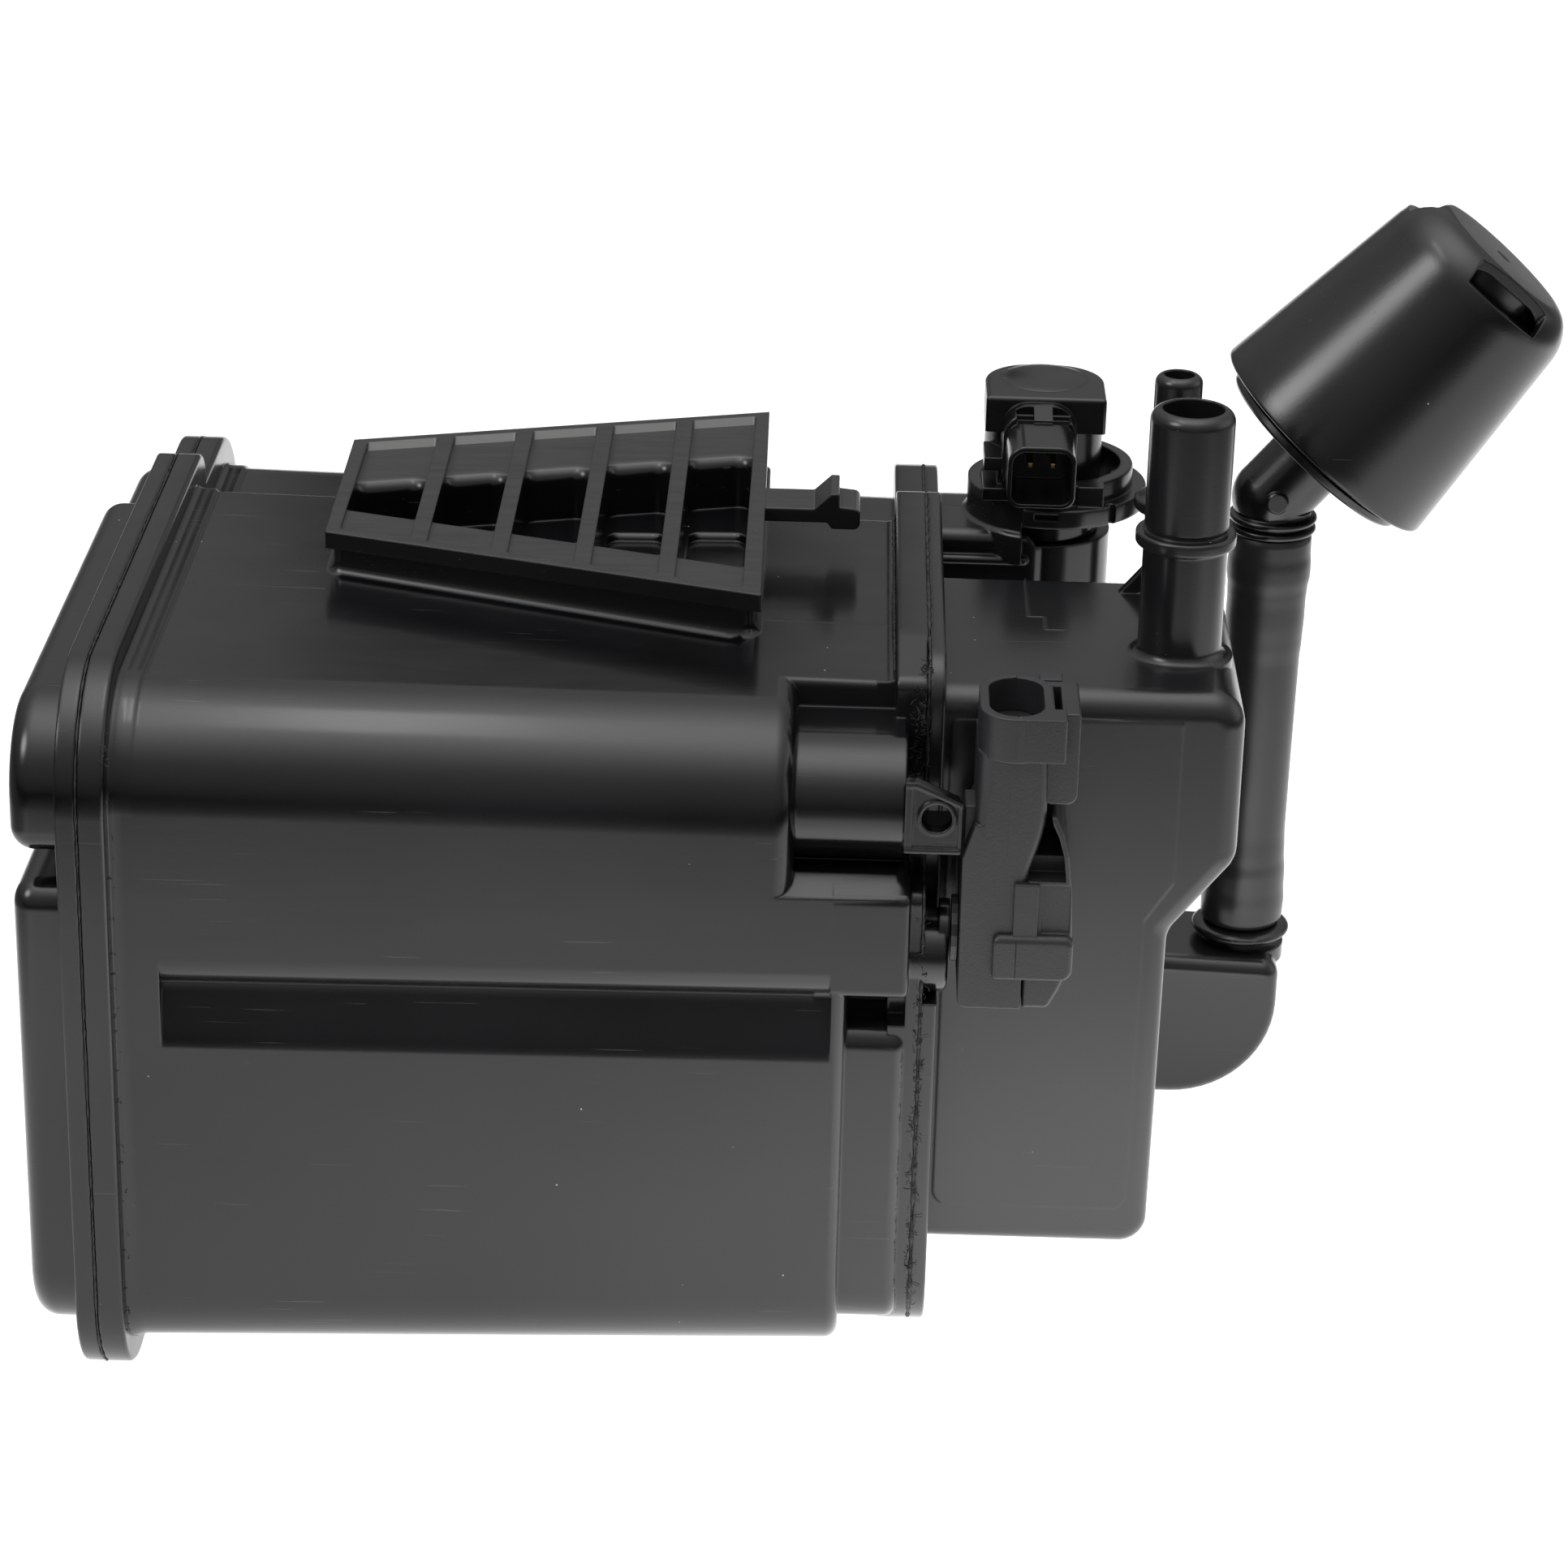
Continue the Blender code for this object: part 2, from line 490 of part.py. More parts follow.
cut(cover, tool("valve_window", box(160.0, 138.0, 76.0, 168.5, 151.6, 84.0)))
cut(cover, tool("elbow_inside", prism([(183.0, 4.5, 2), (183.0, 30.6, 2), (230.0, 30.6, 2), (230.0, 4.5, 18)], "y", 134.2, 155.4, 4)))
cut(cover, tool("elbow_link", box(178.2, 137.5, 16.0, 186.0, 152.0, 29.0)))
cut(cover, tool("nipple_bore", rod(4.3, 26.0, 56.0, 16, "z", HOSE_FOOT[:2])))

# ---- what the three chambers hold ------------------------------------------------
CLEAR = GAP + 0.05
for nm, space, bed_end, spring_r, spring_at in (
        ("lower", low_space, LOW_END - GAP, 9.0, [(38.0, 53.0), (92.0, 53.0)]),
        ("upper", up_space, UP_END - GAP, 8.4, [(65.0, 121.2)]),
        ("rear", rear_space, REAR_END - GAP, 9.0, [(155.5, 65.0)])):
    def area(k, space=space):
        return space(k, CLEAR)

    # from the springs at the end cap to the filled end
    plate = add("pressure_plate_" + nm, chamber(area, 14.0, 16.4), natural)
    us = [p[0] for p in area(0)]
    vs = [p[1] for p in area(0)]
    for i in range(3):
        for j in range(2):
            y = min(us) + (max(us) - min(us)) * (0.25 + 0.25 * i)
            z = min(vs) + (max(vs) - min(vs)) * (0.22 + 0.56 * j)
            w = (max(us) - min(us)) * 0.075
            h = min((max(vs) - min(vs)) * 0.12, w * 2)
            cut(plate, tool("hole_%s_%d%d" % (nm, i, j), box(12.0, y - w, z - h, 18.0, y + w, z + h)))
    add("pad_inlet_" + nm, chamber(area, 16.7, 19.7), fleece)
    add("carbon_bed_" + nm, chamber(area, 20.0, bed_end - 3.6), carbon)
    add("pad_outlet_" + nm, chamber(area, bed_end - 3.3, bed_end), fleece)
    for k, (y, z) in enumerate(spring_at):
        tag = nm if len(spring_at) == 1 else "%s_%d" % (nm, k + 1)
        add("bed_spring_" + tag, along_x(coil(spring_r, 1.4, 0.8, 23.4, 5.0, 9, 4), y, z, -10.2), spring_steel)

# ---- vent valve -------------------------------------------------------------------
head = add("vent_valve_housing", turned([(0, 86.0), (11.3, 86.0), (11.3, 124.4), (10.0, 124.5), (10.0, 126.7), (11.3, 127.2), (12.1, 127.4), (12.1, 151.0), (0, 151.0)],
                                        28, "z", VALVE), black)
join(head, tool("head_top", pillow([(165.4, 134.2, 0), (165.4, 157.0, 10.5), (190.0, 157.0, 10.5), (190.0, 134.2, 0)], "z", 150.4, 158.6, 0, 0.9, 6, 2)))
join(head, tool("shroud", pillow([(169.4, 142.6, 2.4), (169.4, 155.0, 3.0), (183.6, 155.0, 3.0), (183.6, 142.6, 2.4)], "y", 112.0, 140.0, 0.5, 0, 3, 1)))
join(head, tool("shroud_collar", pillow([(168.8, 142.0, 2.6), (168.8, 155.9, 5.0), (184.4, 155.9, 5.0), (184.4, 142.0, 2.6)], "y", 127.5, 140.0, 0.4, 0, 3, 1)))
join(head, tool("lug_upper", box(165.8, 122.0, 149.4, 171.0, 140.0, 151.0)))
join(head, tool("lug_lower", box(165.8, 124.0, 141.4, 171.0, 140.0, 143.2)))
cut(head, tool("shroud_opening", pillow([(170.9, 144.1, 1.6), (170.9, 153.5, 1.6), (182.1, 153.5, 1.6), (182.1, 144.1, 1.6)], "y", 108.0, 128.0, 0, 0, 3, 1)))
# room for the coil, open at the bottom
cut(head, tool("coil_room", rod(10.3, 80.0, 124.0, 24, "z", VALVE)))
for nm, x in (("a", 174.2), ("b", 178.8)):
    cut(head, tool("blade_slot_" + nm, box(x - 0.9, 126.0, 148.0, x + 0.9, 133.2, 150.2)))
    add("vent_valve_terminal_" + nm, box(x - 0.6, 118.0, 148.5, x + 0.6, 132.8, 149.7), brass)
add("vent_valve_frame", pipe(10.0, 9.1, 88.0, 123.6, 24, "z", VALVE), core_steel)
add("vent_valve_bobbin", turned([(8.8, 89.0), (8.8, 90.6), (5.0, 90.6), (5.0, 119.0), (8.8, 119.0), (8.8, 120.6), (4.0, 120.6), (4.0, 89.0)], 20, "z", VALVE), natural)
add("vent_valve_winding", pipe(8.5, 5.3, 90.9, 118.7, 20, "z", VALVE), copper)
add("vent_valve_core", turned([(0, 108.0), (2.1, 108.0), (2.1, 101.5), (3.6, 101.5), (3.6, 121.0), (8.8, 121.0), (8.8, 123.4), (0, 123.4)], 20, "z", VALVE), core_steel)
plunger = add("vent_valve_plunger", turned([(0, 78.2), (3.0, 78.2), (3.0, 79.8), (1.6, 79.8), (1.6, 82.4), (3.4, 82.4), (3.4, 98.6), (2.1, 98.6), (2.1, 95.6), (0, 95.6)], 20), core_steel, (*VALVE, 0.0))
add("vent_valve_seal", pipe(7.0, 1.9, 80.1, 82.1, 20), rubber, (*VALVE, 0.0))
add("vent_valve_return_spring", coil(1.6, 0.5, 96.2, 107.4, 6.0, 8, 4), spring_steel, (*VALVE, 0.0))
add("vent_valve_seat_plate", pipe(9.8, 4.6, 84.4, 87.6, 20, "z", VALVE), natural)
add("vent_valve_seal_ring", turned([(10.4, 124.9), (10.4, 126.2), (10.8, 126.4), (11.2, 126.2), (11.4, 125.6), (11.2, 124.9), (10.8, 124.7)], 24, "z", VALVE), rubber)

# ---- pressure sensor ---------------------------------------------------------------
sensor = add("pressure_sensor_housing", pillow([(160.3, 81.8, 1.5), (160.3, 112.2, 1.5), (172.0, 112.2, 1.0), (172.0, 81.8, 1.0)], "y", 7.0, 27.0, 1.0, 1.0, 2, 1), grey)
join(sensor, tool("sensor_neck", loft([ring(rounded(rect(162.6, 8.4, x1, 25.2, 3)), "z", z) for x1, z in ((171.6, 106.0), (173.4, 112.0), (175.2, 120.0), (175.4, 131.0))])))
join(sensor, tool("sensor_socket", pillow(rect(162.3, 5.0, 175.8, 27.0, 6.6), "z", 127.5, 140.4, 0, 0.5, 4, 1)))
join(sensor, tool("sensor_latch", pillow([(174.5, 121.6, 0), (174.5, 139.6, 0), (180.4, 139.6, 0.6), (180.4, 121.6, 2.2)], "y", 8.0, 24.0, 0.4, 0.4, 2, 1)))
cut(sensor, tool("sensor_latch_gap", box(176.4, 10.4, 130.0, 178.8, 21.6, 141.0)))
join(sensor, tool("strap_end", pillow([(166.3, 88.4, 0.8), (166.3, 97.0, 1.6), (171.9, 97.0, 0), (171.9, 88.4, 0)], "y", 5.4, 12.0, 0.5, 0, 2, 1)))
join(sensor, tool("sensor_gusset", prism([(160.6, 110.0, 0), (162.0, 119.0, 0), (163.6, 119.0, 0), (166.8, 110.0, 0)], "y", 9.0, 13.0)))
cut(sensor, tool("sensor_opening", pillow(rect(163.9, 6.6, 174.2, 25.4, 5.0), "z", 128.0, 143.0, 0, 0, 3, 1)))
cut(sensor, tool("sensor_room", box(162.3, 9.0, 84.0, 174.0, 25.0, 105.0)))
cut(sensor, tool("sensor_port", rod(3.0, 155.0, 164.0, 14, "x", STUB)))
for nm, y in (("a", 11.0), ("b", 16.0), ("c", 21.0)):
    cut(sensor, tool("pin_slot_" + nm, box(168.4, y - 0.9, 104.0, 170.2, y + 0.9, 129.0)))
    add("pressure_sensor_terminal_" + nm, box(168.8, y - 0.5, 101.5, 169.8, y + 0.5, 134.0), brass)
lid = add("pressure_sensor_cover", pillow([(172.3, 82.0, 0), (172.3, 105.4, 0), (174.2, 112.0, 0), (176.0, 119.3, 0), (177.6, 119.3, 0.5), (180.3, 108.0, 3), (181.1, 97.0, 3), (180.6, 87.5, 3), (178.2, 82.0, 2.5)], "y", 7.2, 26.8, 0.8, 0.8, 2, 1), grey)
cut(lid, tool("lid_recess", prism([(174.2, 106.0, 0), (175.4, 111.0, 0), (176.6, 117.6, 0), (177.4, 117.6, 0), (179.4, 106.0, 0)], "y", 4.0, 23.0)))
join(lid, tool("lid_strap", pillow([(172.4, 88.4, 0), (172.4, 97.0, 0), (181.4, 97.0, 1.6), (181.4, 88.4, 1.6)], "y", 5.4, 12.0, 0.5, 0, 2, 1)))
join(lid, tool("lid_bar", box(172.4, 5.9, 95.0, 174.7, 12.0, 105.0)))
add("pressure_sensor_board", box(170.0, 9.6, 85.0, 171.4, 24.4, 101.0), board)
add("pressure_sensor_element", box(166.0, 13.0, 89.5, 169.6, 21.0, 97.5), natural)
add("pressure_sensor_gasket", pipe(6.2, 3.4, 158.9, 160.0, 18, "x", STUB), rubber)

# ---- vent hose ---------------------------------------------------------------------
def hose_axis(s):
    """Centre of the hose at a share s of its length."""
    return Vector(HOSE_FOOT).lerp(Vector(HOSE_HEAD), s)


def hose_radius(s):
    """Swollen where the barbs sit inside both ends."""
    bulge = math.exp(-((s - 0.14) / 0.05) ** 2) + math.exp(-((s - 0.84) / 0.06) ** 2)
    return HOSE_R + 0.35 * bulge


def hose_mesh(steps=18, rows=14):
    bm = bmesh.new()
    outer, inner = [], []
    for i in range(rows + 1):
        s = i / rows
        c = hose_axis(s)
        ro = hose_radius(s)
        outer.append([bm.verts.new((c.x + ro * math.cos(2 * math.pi * k / steps), c.y + ro * math.sin(2 * math.pi * k / steps), c.z)) for k in range(steps)])
        inner.append([bm.verts.new((c.x + (HOSE_BORE + 0.3) * math.cos(2 * math.pi * k / steps), c.y + (HOSE_BORE + 0.3) * math.sin(2 * math.pi * k / steps), c.z)) for k in range(steps)])
    for rows_ in (outer, inner):
        for a, b in zip(rows_, rows_[1:]):
            for k in range(steps):
                bm.faces.new((a[k], a[(k + 1) % steps], b[(k + 1) % steps], b[k]))
    for a, b in ((outer[0], inner[0]), (outer[-1], inner[-1])):
        for k in range(steps):
            bm.faces.new((a[k], a[(k + 1) % steps], b[(k + 1) % steps], b[k]))
    return bm


add("vent_hose", hose_mesh(), rubber)

# ---- fresh-air filter ----------------------------------------------------------------
elbow = add("filter_elbow", turned([(0, 111.5), (5.2, 111.5), (6.0, 114.0), (5.7, 114.5), (5.7, 127.3), (8.0, 127.4), (8.9, 127.9), (8.9, 129.2), (8.0, 129.8), (8.9, 130.4), (8.9, 131.4), (7.9, 132.0), (7.9, 134.2), (0, 134.2)],
                                   20, "z", HOSE_HEAD[:2]), black)
join(elbow, tool("elbow_ball", turned([(ELBOW_R * math.sin(math.pi * k / 8), -ELBOW_R * math.cos(math.pi * k / 8)) for k in range(9)], 20), ELBOW))
join(elbow, tool("elbow_neck", rod(ELBOW_R - 0.05, 0.0, 15.0, 20), ELBOW, FILTER_TILT))
join(elbow, tool("elbow_boss", rod(2.3, 135.6, 138.2, 14, "y", (226.2, 136.0))))
join(elbow, tool("filter_plate", turned([(0, -3.2), (20.8, -3.2), (22.3, -2.6), (22.3, -1.2), (21.6, -1.0), (21.6, 3.0), (20.2, 3.0), (20.2, -1.0), (0, -1.0)], 32), FILTER_BASE, FILTER_TILT))
cut(elbow, tool("elbow_bore_low", rod(4.4, 108.0, 134.4, 14, "z", HOSE_HEAD[:2])))
cut(elbow, tool("elbow_bore_ball", turned([(4.5 * math.sin(math.pi * k / 6), -4.5 * math.cos(math.pi * k / 6)) for k in range(7)], 14), ELBOW))
cut(elbow, tool("elbow_bore_high", rod(4.4, 0.4, 22.0, 14), ELBOW, FILTER_TILT))

drum = add("filter_cap", turned([(24.6, 0.0), (FILTER_RIM_R, 0.0), (26.65, 0.7), (21.8, 43.5), (FILTER_SHOULDER_R, 46.2), (20.1, 48.9), (18.3, 51.2), (16.5, 52.3), (15.0, FILTER_LEN),
                                 (5.0, FILTER_LEN), (5.0, 50.5), (13.2, 50.5), (13.2, 44.0), (15.0, 44.0), (15.0, 50.2), (16.2, 50.2), (17.9, 48.6), (19.0, 46.0), (19.7, 43.0), (24.3, 1.0)], 36),
           black, FILTER_BASE, FILTER_TILT)
# the middle of the closed end, with its shallow dimple
join(drum, tool("drum_end", turned([(0, 50.5), (6.0, 50.5), (6.0, FILTER_LEN), (1.6, FILTER_LEN), (0, 51.9)], 36), FILTER_BASE, FILTER_TILT))
for k in range(3):
    bm = box(15.2, -9.2, 46.8, 27.0, 9.2, 54.0)
    bmesh.ops.rotate(bm, matrix=Matrix.Rotation(math.radians(-85 + 120 * k), 3, "Z"), verts=bm.verts[:])
    cut(drum, tool("air_window_%d" % k, bm, FILTER_BASE, FILTER_TILT))
add("filter_foam", turned([(6.0, 3.4), (19.6, 3.4), (19.2, 36.0), (6.0, 36.0)], 24), foam, FILTER_BASE, FILTER_TILT)
add("filter_retainer", pipe(19.4, 6.4, 36.4, 38.0, 24), natural, FILTER_BASE, FILTER_TILT)
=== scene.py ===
"""Charcoal canister of a fuel-vapour system, as its visible pieces.

Shapes are drawn in millimetres in the housing's own axes: X from the left weld
plane to the right, Y from the front edge of the left flange to the back, Z up.
ORIGIN turns them into the frame's axes. Every piece rides on the canister body.
"""

import math
import random
import bmesh
import bpy
from mathutils import Matrix, Vector, noise


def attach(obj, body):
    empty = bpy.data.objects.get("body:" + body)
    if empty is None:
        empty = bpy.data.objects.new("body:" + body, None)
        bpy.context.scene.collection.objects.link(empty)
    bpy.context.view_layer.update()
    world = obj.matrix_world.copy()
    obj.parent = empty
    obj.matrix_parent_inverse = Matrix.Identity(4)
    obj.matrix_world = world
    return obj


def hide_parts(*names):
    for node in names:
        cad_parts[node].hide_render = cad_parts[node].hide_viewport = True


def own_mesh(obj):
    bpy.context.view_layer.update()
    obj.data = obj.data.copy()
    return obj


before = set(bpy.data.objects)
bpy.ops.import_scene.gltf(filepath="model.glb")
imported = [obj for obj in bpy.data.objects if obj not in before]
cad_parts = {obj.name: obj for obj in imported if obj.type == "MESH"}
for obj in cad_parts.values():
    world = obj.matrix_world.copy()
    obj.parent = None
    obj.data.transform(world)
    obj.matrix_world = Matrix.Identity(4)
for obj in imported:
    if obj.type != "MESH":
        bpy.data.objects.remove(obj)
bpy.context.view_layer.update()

MM = 0.001
ORIGIN = (134.515, 93.0, -3.2)
SEG = 12

# ---- dimensions, as in the model -------------------------------------------------
GAP = 0.3
WALL = 2.5
FLANGE_L = 5.06
CAP_FLANGE = 4.0
CAP_DEPTH = 13.5
FLANGE_R0, FLANGE_R1 = 147.6, 153.5
COVER_R1 = 156.2
LEFT_OUTLINE = [(0, -3.2, 20), (0, 141.4, 24), (138.5, 141.4, 7.4), (138.5, 133.6, 0),
                (186, 133.6, 24), (186, -3.2, 20)]
RIGHT_OUTLINE = [(9.7, 7.7, 16), (9.7, 140.3, 29), (131, 140.3, 7), (131, 132.4, 0),
                 (184.5, 132.4, 24), (184.5, 7.7, 18)]
# the right weld flanges step back at the top front, round the pocket in the shell
FLANGE_RIGHT = [(9.7, 7.7, 16), (9.7, 103.8, 3), (31.5, 103.8, 3), (31.5, 136.4, 2.6), (47.0, 140.3, 12), (131, 140.3, 7),
                (131, 132.4, 0), (184.5, 132.4, 24), (184.5, 7.7, 18)]
FLANGE_COVER = [(9.7, 7.7, 16), (9.7, 103.8, 3), (30.6, 103.8, 3), (30.6, 140.3, 8.6), (131, 140.3, 7),
                (131, 132.4, 0), (184.5, 132.4, 24), (184.5, 7.7, 18)]
FRONT_Y = (4.8, 7.3)
FRONT_BACK = (125.5, 124.8)
FRONT_Z0 = (2.4, 4.9)
FRONT_Z1 = (136.5, 134.4)
REAR_Y0 = (131.0, 131.5)
REAR_Y1 = (181.5, 179.8)
REAR_Z1 = (126.9, 125.0)
BED_SPLIT = 105.0
TRAY_TOP = 145.5
TRAY = [(36.7, 78.0), (121.8, 50.4), (120.9, 157.5), (36.5, 132.3)]
CELL_FLOOR = 133.5
PORT_L, PORT_L_R, PORT_L_BORE, PORT_L_TOP = (201.3, 57.4), 7.95, 5.8, 182.4
PORT_S, PORT_S_R, PORT_S_BORE, PORT_S_TOP = (200.7, 88.3), 4.6, 3.2, 178.9
VALVE = (177.8, 144.8)
SOCKET = (179.6, 144.8)
STUB = (17.0, 93.5)
HOSE_FOOT = (225.4, 144.8, 38.6)
HOSE_HEAD = (226.3, 144.8, 127.0)
FILTER_TILT = 40.0
FILTER_BASE = (235.6, 144.8, 147.0)
FILTER_RIM_R, FILTER_SHOULDER_R, FILTER_LEN = 26.5, 21.2, 52.6
ELBOW = (225.8, 144.8, 134.6)
ELBOW_R = 8.3
LOW_END, UP_END, REAR_END = 134.0, 123.8, 137.5

rng = random.Random(7)


# ---- mesh helpers -----------------------------------------------------------------
def turn_sign(points):
    area = 0.0
    for i, a in enumerate(points):
        b = points[(i + 1) % len(points)]
        area += a[0] * b[1] - b[0] * a[1]
    return 1.0 if area > 0 else -1.0


def rounded(corners, seg=SEG):
    """Polygon of (u, v, radius) corners with every radius drawn as an arc."""
    out = []
    n = len(corners)
    for i in range(n):
        p = Vector(corners[i][:2])
        r = corners[i][2]
        a = (Vector(corners[i - 1][:2]) - p).normalized()
        b = (Vector(corners[(i + 1) % n][:2]) - p).normalized()
        if r <= 0:
            out.append((p.x, p.y))
            continue
        half = a.angle(b) / 2
        reach = r / math.tan(half)
        start, end = p + a * reach, p + b * reach
        centre = p + (a + b).normalized() * (r / math.sin(half))
        v0, v1 = start - centre, end - centre
        sweep = math.atan2(v0.x * v1.y - v0.y * v1.x, v0.dot(v1))
        for k in range(seg + 1):
            ang = sweep * k / seg
            c, s = math.cos(ang), math.sin(ang)
            out.append((centre.x + v0.x * c - v0.y * s, centre.y + v0.x * s + v0.y * c))
    return out


def inset(corners, d):
    """The same polygon with its edges moved inwards by d, radii following."""
    sign = turn_sign(corners)
    n = len(corners)
    out = []
    for i in range(n):
        p0, p, p1 = Vector(corners[i - 1][:2]), Vector(corners[i][:2]), Vector(corners[(i + 1) % n][:2])
        e0, e1 = (p - p0).normalized(), (p1 - p).normalized()
        n0, n1 = Vector((-e0.y, e0.x)) * sign, Vector((-e1.y, e1.x)) * sign
        bis = n0 + n1
        q = p + bis * (2 * d / bis.length_squared)
        convex = (e0.x * e1.y - e0.y * e1.x) * sign > 0
        r = corners[i][2]
        r = (max(r - d, 0.05) if convex else r + d) if r > 0 else 0
        out.append((q.x, q.y, r))
    return out


def ring(points, axis, at):
    if axis == "x":
        return [(at, u, v) for u, v in points]
    if axis == "y":
        return [(u, at, v) for u, v in points]
    return [(u, v, at) for u, v in points]


def loft(rings):
    bm = bmesh.new()
    rows = [[bm.verts.new(p) for p in r] for r in rings]
    n = len(rows[0])
    for a, b in zip(rows, rows[1:]):
        for i in range(n):
            bm.faces.new((a[i], a[(i + 1) % n], b[(i + 1) % n], b[i]))
    bm.faces.new(rows[0][::-1])
    bm.faces.new(rows[-1])
    return bm


def prism(corners, axis, a0, a1, seg=SEG):
    pts = rounded(corners, seg)
    return loft([ring(pts, axis, a0), ring(pts, axis, a1)])


def pillow(corners, axis, a0, a1, r0, r1, seg=SEG, steps=5):
    """Prism whose end edges are rounded with r0 at a0 and r1 at a1."""
    sign = 1.0 if a1 > a0 else -1.0
    rings = []
    if r0 > 0:
        for k in range(steps + 1):
            t = math.pi / 2 * k / steps
            pts = rounded(inset(corners, r0 * (1 - math.sin(t))), seg)
            rings.append(ring(pts, axis, a0 + sign * r0 * (1 - math.cos(t))))
    else:
        rings.append(ring(rounded(corners, seg), axis, a0))
    if r1 > 0:
        for k in range(steps + 1):
            t = math.pi / 2 * k / steps
            pts = rounded(inset(corners, r1 * (1 - math.cos(t))), seg)
            rings.append(ring(pts, axis, a1 - sign * r1 * (1 - math.sin(t))))
    else:
        rings.append(ring(rounded(corners, seg), axis, a1))
    return loft(rings)


def shrink(corners, ds):
    """Polygon with edge i (from corner i to corner i + 1) moved inwards by ds[i]."""
    sign = turn_sign(corners)
    n = len(corners)
    out = []
    for i in range(n):
        p0, p, p1 = Vector(corners[i - 1][:2]), Vector(corners[i][:2]), Vector(corners[(i + 1) % n][:2])
        e0, e1 = (p - p0).normalized(), (p1 - p).normalized()
        n0, n1 = Vector((-e0.y, e0.x)) * sign, Vector((-e1.y, e1.x)) * sign
        d0, d1 = ds[i - 1], ds[i]
        across = e0.dot(n1)
        q = p + n0 * d0
        if abs(across) > 1e-6:
            q += e0 * ((d1 - d0 * n0.dot(n1)) / across)
        r = corners[i][2]
        out.append((q.x, q.y, max(r - (d0 + d1) / 2, 0.05) if r > 0 else 0))
    return out


def pillow_each(corners, axis, a0, a1, radii, r1=0.0, seg=SEG, steps=8):
    """Pillow whose a0 end is rounded with its own radius along every edge."""
    sign = 1.0 if a1 > a0 else -1.0
    big = max(radii)
    rings = []
    for k in range(steps + 1):
        depth = big * (1 - math.cos(math.pi / 2 * k / steps))
        ds = [r - math.sqrt(max(r * r - (r - depth) ** 2, 0.0)) if depth < r else 0.0 for r in radii]
        rings.append(ring(rounded(shrink(corners, ds), seg), axis, a0 + sign * depth))
    if r1 > 0:
        for k in range(5):
            t = math.pi / 2 * k / 4
            rings.append(ring(rounded(inset(corners, r1 * (1 - math.cos(t))), seg), axis, a1 - sign * r1 * (1 - math.sin(t))))
    else:
        rings.append(ring(rounded(corners, seg), axis, a1))
    return loft(rings)


def rect(u0, v0, u1, v1, r=0.0):
    return [(u0, v0, r), (u0, v1, r), (u1, v1, r), (u1, v0, r)]


def box(x0, y0, z0, x1, y1, z1):
    return prism(rect(x0, y0, x1, y1), "z", z0, z1)


def turned(profile, steps=48, axis="z", centre=(0, 0)):
    bm = bmesh.new()
    rows = []
    for r, h in profile:
        if r < 1e-6:
            rows.append([bm.verts.new((0, 0, h))])
            continue
        rows.append([bm.verts.new((r * math.cos(2 * math.pi * k / steps), r * math.sin(2 * math.pi * k / steps), h))
                     for k in range(steps)])
    closed = len(rows[0]) > 1 and len(rows[-1]) > 1
    pairs = list(zip(rows, rows[1:])) + ([(rows[-1], rows[0])] if closed else [])
    for a, b in pairs:
        for k in range(steps):
            j = (k + 1) % steps
            if len(a) == 1:
                bm.faces.new((a[0], b[k], b[j]))
            elif len(b) == 1:
                bm.faces.new((a[k], a[j], b[0]))
            else:
                bm.faces.new((a[k], a[j], b[j], b[k]))
    if axis == "x":
        bmesh.ops.rotate(bm, matrix=Matrix.Rotation(math.radians(90), 3, "Y"), verts=bm.verts[:])
        bmesh.ops.translate(bm, vec=(0, centre[0], centre[1]), verts=bm.verts[:])
    elif axis == "y":
        bmesh.ops.rotate(bm, matrix=Matrix.Rotation(math.radians(-90), 3, "X"), verts=bm.verts[:])
        bmesh.ops.translate(bm, vec=(centre[0], 0, centre[1]), verts=bm.verts[:])
    else:
        bmesh.ops.translate(bm, vec=(centre[0], centre[1], 0), verts=bm.verts[:])
    return bm


def rod(r, h0, h1, steps=48, axis="z", centre=(0, 0)):
    return turned([(0, h0), (r, h0), (r, h1), (0, h1)], steps, axis, centre)


def pipe(r_out, r_in, h0, h1, steps=48, axis="z", centre=(0, 0)):
    return turned([(r_out, h0), (r_out, h1), (r_in, h1), (r_in, h0)], steps, axis, centre)


def arc(cr, ch, r, a0, a1, steps=6):
    """Profile points on an arc round (cr, ch), angles in degrees from +radius."""
    return [(cr + r * math.cos(math.radians(a0 + (a1 - a0) * k / steps)),
             ch + r * math.sin(math.radians(a0 + (a1 - a0) * k / steps))) for k in range(steps + 1)]


def placed(bm, location=(0, 0, 0), tilt=0.0):
    """Tilt about Y, then move: the same order as an object's own transform."""
    if tilt:
        bmesh.ops.rotate(bm, matrix=Matrix.Rotation(math.radians(tilt), 3, "Y"), verts=bm.verts[:])
    bmesh.ops.translate(bm, vec=location, verts=bm.verts[:])
    return bm


def link(name, bm):
    bmesh.ops.remove_doubles(bm, verts=bm.verts[:], dist=1e-4)
    bmesh.ops.recalc_face_normals(bm, faces=bm.faces[:])
    bmesh.ops.translate(bm, vec=[-c for c in ORIGIN], verts=bm.verts[:])
    bmesh.ops.scale(bm, vec=(MM, MM, MM), verts=bm.verts[:])
    mesh = bpy.data.meshes.new(name)
    bm.to_mesh(mesh)
    bm.free()
    obj = bpy.data.objects.new(name, mesh)
    bpy.context.scene.collection.objects.link(obj)
    return obj


